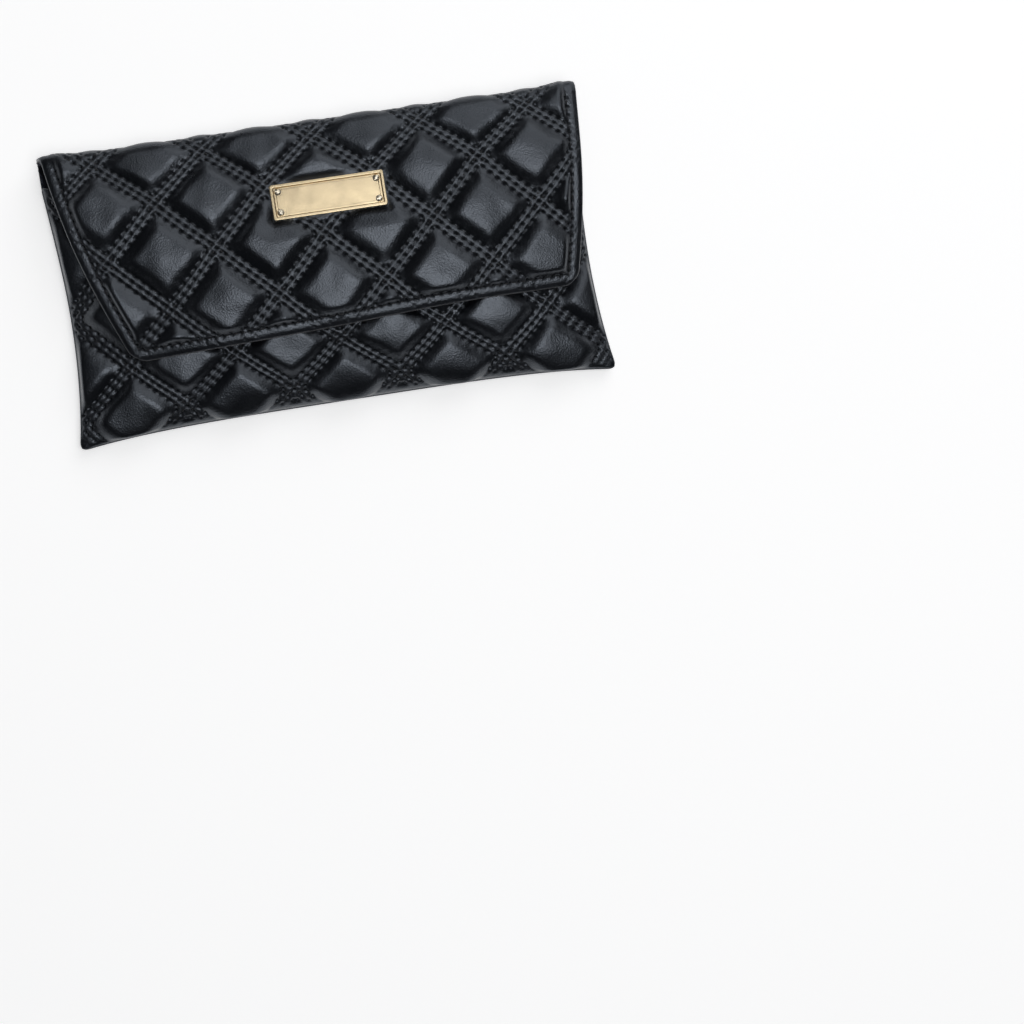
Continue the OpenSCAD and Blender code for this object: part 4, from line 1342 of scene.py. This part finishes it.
class CASE_OT_snap(bpy.types.Operator):
    """Make both halves of the magnetic snap"""

    bl_idname = "case.snap"
    bl_label = "Snap"

    def execute(self, context):
        self.cap()
        self.core()
        self.disc()
        for node in ("snap_base", "snap_washer", "stud_washer"):
            dress(node, finish("steel"))
        dress("snap_magnet", finish("magnet"))
        for node in ("snap_patch", "stud_patch"):
            dress(node, finish("board"))
        return {"FINISHED"}

    def cap(self):
        """The pouch's half: a shallow pan with a rolled rim and a lipped hole."""
        h, r, hole = CAP_H, CAP_R, CAP_HOLE_R
        floor = h - 0.45
        profile = [(r - 0.75, 0.0), (r - 0.2, 0.0)]
        profile += arc(r - 0.2, 0.2, 0.2, -60, 0, 4) + arc(r - 0.6, h - 0.6, 0.6, 0, 90, 9)
        profile += [(r - 1.4, h - 0.02), (hole + 0.95, h - 0.06)]
        profile += arc(hole + 0.45, h - 0.1, 0.42, 25, 180, 10)
        profile += [(hole + 0.03, h - 0.9), (hole + 0.4, h - 0.9), (hole + 0.4, floor)]
        profile += [(r - 0.4, floor), (r - 0.4, 0.25), (r - 0.75, 0.25)]
        piece = lathe("pouch_snap_cap", profile, SEAT_Z, finish("mirror_gold"))
        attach(piece, "pouch")
        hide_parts("snap_cap")

    def core(self):
        """The round contact at the bottom of the cap's hole."""
        r, low, high = 2.3, 0.8, 1.55
        profile = [(AXIS_R, low), (r, low), (r, high - 0.3)]
        profile += arc(r - 0.3, high - 0.3, 0.3, 0, 90, 5)
        profile += [(0.9, high - 0.02), (AXIS_R, high - 0.12)]
        piece = lathe("pouch_snap_core", profile, SEAT_Z, finish("mirror_gold"), sides=96)
        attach(piece, "pouch")
        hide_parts("snap_core")

    def disc(self):
        """The flap's half: a ringed disc with the stud in its middle, both facing down."""
        r, stud, tip, thick = STUD_PLATE_R, STUD_R, -STUD_LEN, 1.0
        profile = [(AXIS_R, tip + 0.25), (0.8, tip + 0.05), (stud - 1.1, tip)]
        profile += arc(stud - 1.0, tip + 0.45, 0.45, -80, -5, 6)
        profile += [(stud - 0.25, -0.2), (stud + 0.1, 0.1), (stud + 0.7, 0.14)]
        profile += [(x, 0.14) for x in np.linspace(stud + 0.9, r - 1.6, 16)]
        profile += [(r - 1.35, 0.1)] + arc(r - 0.85, 0.3, 0.3, -150, -90, 4)
        profile += arc(r - 0.4, 0.4, 0.4, -90, 0, 6)
        profile += [(r, thick - 0.02), (AXIS_R, thick - 0.02)]

        def ticks(turn, radius):
            ring = (radius > stud + 1.3) & (radius < r - 1.9)
            return np.where(ring, 0.09 * np.sign(np.sin(36 * turn)), 0.0)

        top = STUD_TOP_Z - thick
        material = finish("satin_gold")
        piece = lathe("flap_snap_disc", profile, top, material, sides=288, ticks=ticks)
        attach(piece, "flap")
        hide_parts("stud_plate")


BEVEL_ANGLE = 35  # edges sharper than this are bevelled


def dress(node, material, bevel=0.0):
    """A finish, and if asked a fine bevel in millimetres, on a solid that keeps its shape."""
    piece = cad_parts[node]
    piece.data.materials.clear()
    piece.data.materials.append(material)
    if bevel:
        weld = piece.modifiers.new("weld", "WELD")
        weld.merge_threshold = 2e-6
        cut = piece.modifiers.new("bevel", "BEVEL")
        cut.width = bevel * MM
        cut.segments = 3
        cut.limit_method = "ANGLE"
        cut.angle_limit = math.radians(BEVEL_ANGLE)
        cut.use_clamp_overlap = False
        piece.modifiers.new("even normals", "WEIGHTED_NORMAL").keep_sharp = True


class CASE_OT_nameplate(bpy.types.Operator):
    """Finish the nameplate, its inset plate and its screws"""

    bl_idname = "case.nameplate"
    bl_label = "Nameplate"

    def execute(self, context):
        dress("nameplate_frame", finish("rim_gold"), bevel=0.28)
        dress("nameplate_insert", finish("plate_gold"), bevel=0.2)
        dress("nameplate_screws", finish("screw_gold"))
        dress("nameplate_backing", finish("steel"))
        return {"FINISHED"}


class CASE_OT_stage(bpy.types.Operator):
    """Make the floor, the lights and the camera"""

    bl_idname = "case.stage"
    bl_label = "Stage"

    def execute(self, context):
        scene = context.scene
        mesh = bpy.data.meshes.new("floor")
        half, z = 6.0, -0.0002
        corners = [(x * half, y * half, z) for x, y in ((-1, -1), (1, -1), (1, 1), (-1, 1))]
        mesh.from_pydata(corners, [], [(0, 1, 2, 3)])
        floor = bpy.data.objects.new("floor", mesh)
        scene.collection.objects.link(floor)
        floor.data.materials.append(floor_finish())
        self.sky(scene)
        self.lamp("softbox", (0.22, -0.14, 1.70), size=0.84, power=7.7)
        self.lamp("top light", (0.13, 0.66, 1.75), size=0.55, power=0.34)
        self.lamp("fill", (0.75, 1.15, 1.15), size=1.5, power=8.5)
        self.camera(scene)
        scene.view_settings.view_transform = "Standard"
        return {"FINISHED"}

    def sky(self, scene):
        """A pale horizon under a dark sky with a soft bright top. The camera sees even white."""
        world = bpy.data.worlds.new("studio")
        scene.world = world
        world.use_nodes = True
        tree = world.node_tree
        tree.nodes.clear()
        output, sky, coord, split, ramp, seen, pick, path = (
            tree.nodes.new("ShaderNode" + kind)
            for kind in (
                "OutputWorld", "Background", "TexCoord", "SeparateXYZ",
                "ValToRGB", "Background", "MixShader", "LightPath",
            )
        )
        for source, target in (
            (coord.outputs["Generated"], split.inputs[0]),
            (split.outputs["Z"], ramp.inputs[0]),
            (ramp.outputs[0], sky.inputs["Color"]),
            (path.outputs["Is Camera Ray"], pick.inputs[0]),
            (sky.outputs[0], pick.inputs[1]),
            (seen.outputs[0], pick.inputs[2]),
            (pick.outputs[0], output.inputs[0]),
        ):
            tree.links.new(source, target)
        seen.inputs["Color"].default_value = (0.95, 0.95, 0.95, 1)
        heights = ((0.0, 0.9), (0.03, 0.9), (0.09, 0.08), (0.5, 0.02), (0.82, 0.06), (1.0, 0.4))
        stops = ramp.color_ramp.elements
        stops[0].position, stops[1].position = heights[0][0], heights[-1][0]
        for height, _ in heights[1:-1]:
            stops.new(height)
        for stop, (_, level) in zip(stops, heights):
            stop.color = (level * 0.97, level * 0.99, level * 1.03, 1)

    def lamp(self, name, place, size, power):
        """A square lamp that faces the middle of the case."""
        data = bpy.data.lights.new(name, "AREA")
        data.shape = "SQUARE"
        data.size = size
        data.energy = power
        lamp = bpy.data.objects.new(name, data)
        bpy.context.scene.collection.objects.link(lamp)
        lamp.location = place
        lamp.rotation_euler = (-Vector(place)).to_track_quat("-Z", "Y").to_euler()

    def camera(self, scene):
        """A long lens that looks down on the case, and holds it at the upper left."""
        data = bpy.data.cameras.new("camera")
        data.lens = 85
        data.sensor_width = 36
        camera = bpy.data.objects.new("camera", data)
        scene.collection.objects.link(camera)
        forward = Vector((0.09271, -0.06303, -0.9937)).normalized()
        up = Vector((0.15699, 0.98644, -0.04792))
        right = forward.cross(up).normalized()
        up = right.cross(forward).normalized()
        turn = Matrix((right, up, -forward)).transposed().to_4x4()
        camera.matrix_world = Matrix.Translation((-0.03309, -0.04748, 0.97877)) @ turn
        scene.camera = camera


class CASE_PT_panel(bpy.types.Panel):
    bl_idname = "CASE_PT_panel"
    bl_label = "Jewellery case"
    bl_space_type = "VIEW_3D"
    bl_region_type = "UI"
    bl_category = "Case"

    def draw(self, context):
        scene = context.scene
        for group in (scene.case_sizes, scene.case_colours):
            for name in group.__annotations__:
                self.layout.prop(group, name)
        for operator in OPERATORS:
            self.layout.operator(operator.bl_idname)


OPERATORS = (
    CASE_OT_front,
    CASE_OT_back,
    CASE_OT_flap,
    CASE_OT_lining,
    CASE_OT_snap,
    CASE_OT_nameplate,
    CASE_OT_stage,
)
CLASSES = (CaseSizes, CaseColours, *OPERATORS, CASE_PT_panel)


def register():
    for item in CLASSES:
        bpy.utils.register_class(item)
    bpy.types.Scene.case_sizes = PointerProperty(type=CaseSizes)
    bpy.types.Scene.case_colours = PointerProperty(type=CaseColours)


def unregister():
    del bpy.types.Scene.case_sizes
    del bpy.types.Scene.case_colours
    for item in reversed(CLASSES):
        bpy.utils.unregister_class(item)


def main():
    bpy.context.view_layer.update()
    register()
    bpy.ops.case.front()
    bpy.ops.case.back()
    bpy.ops.case.flap()
    bpy.ops.case.lining()
    bpy.ops.case.snap()
    bpy.ops.case.nameplate()
    bpy.ops.case.stage()


if __name__ == "__main__":
    main()
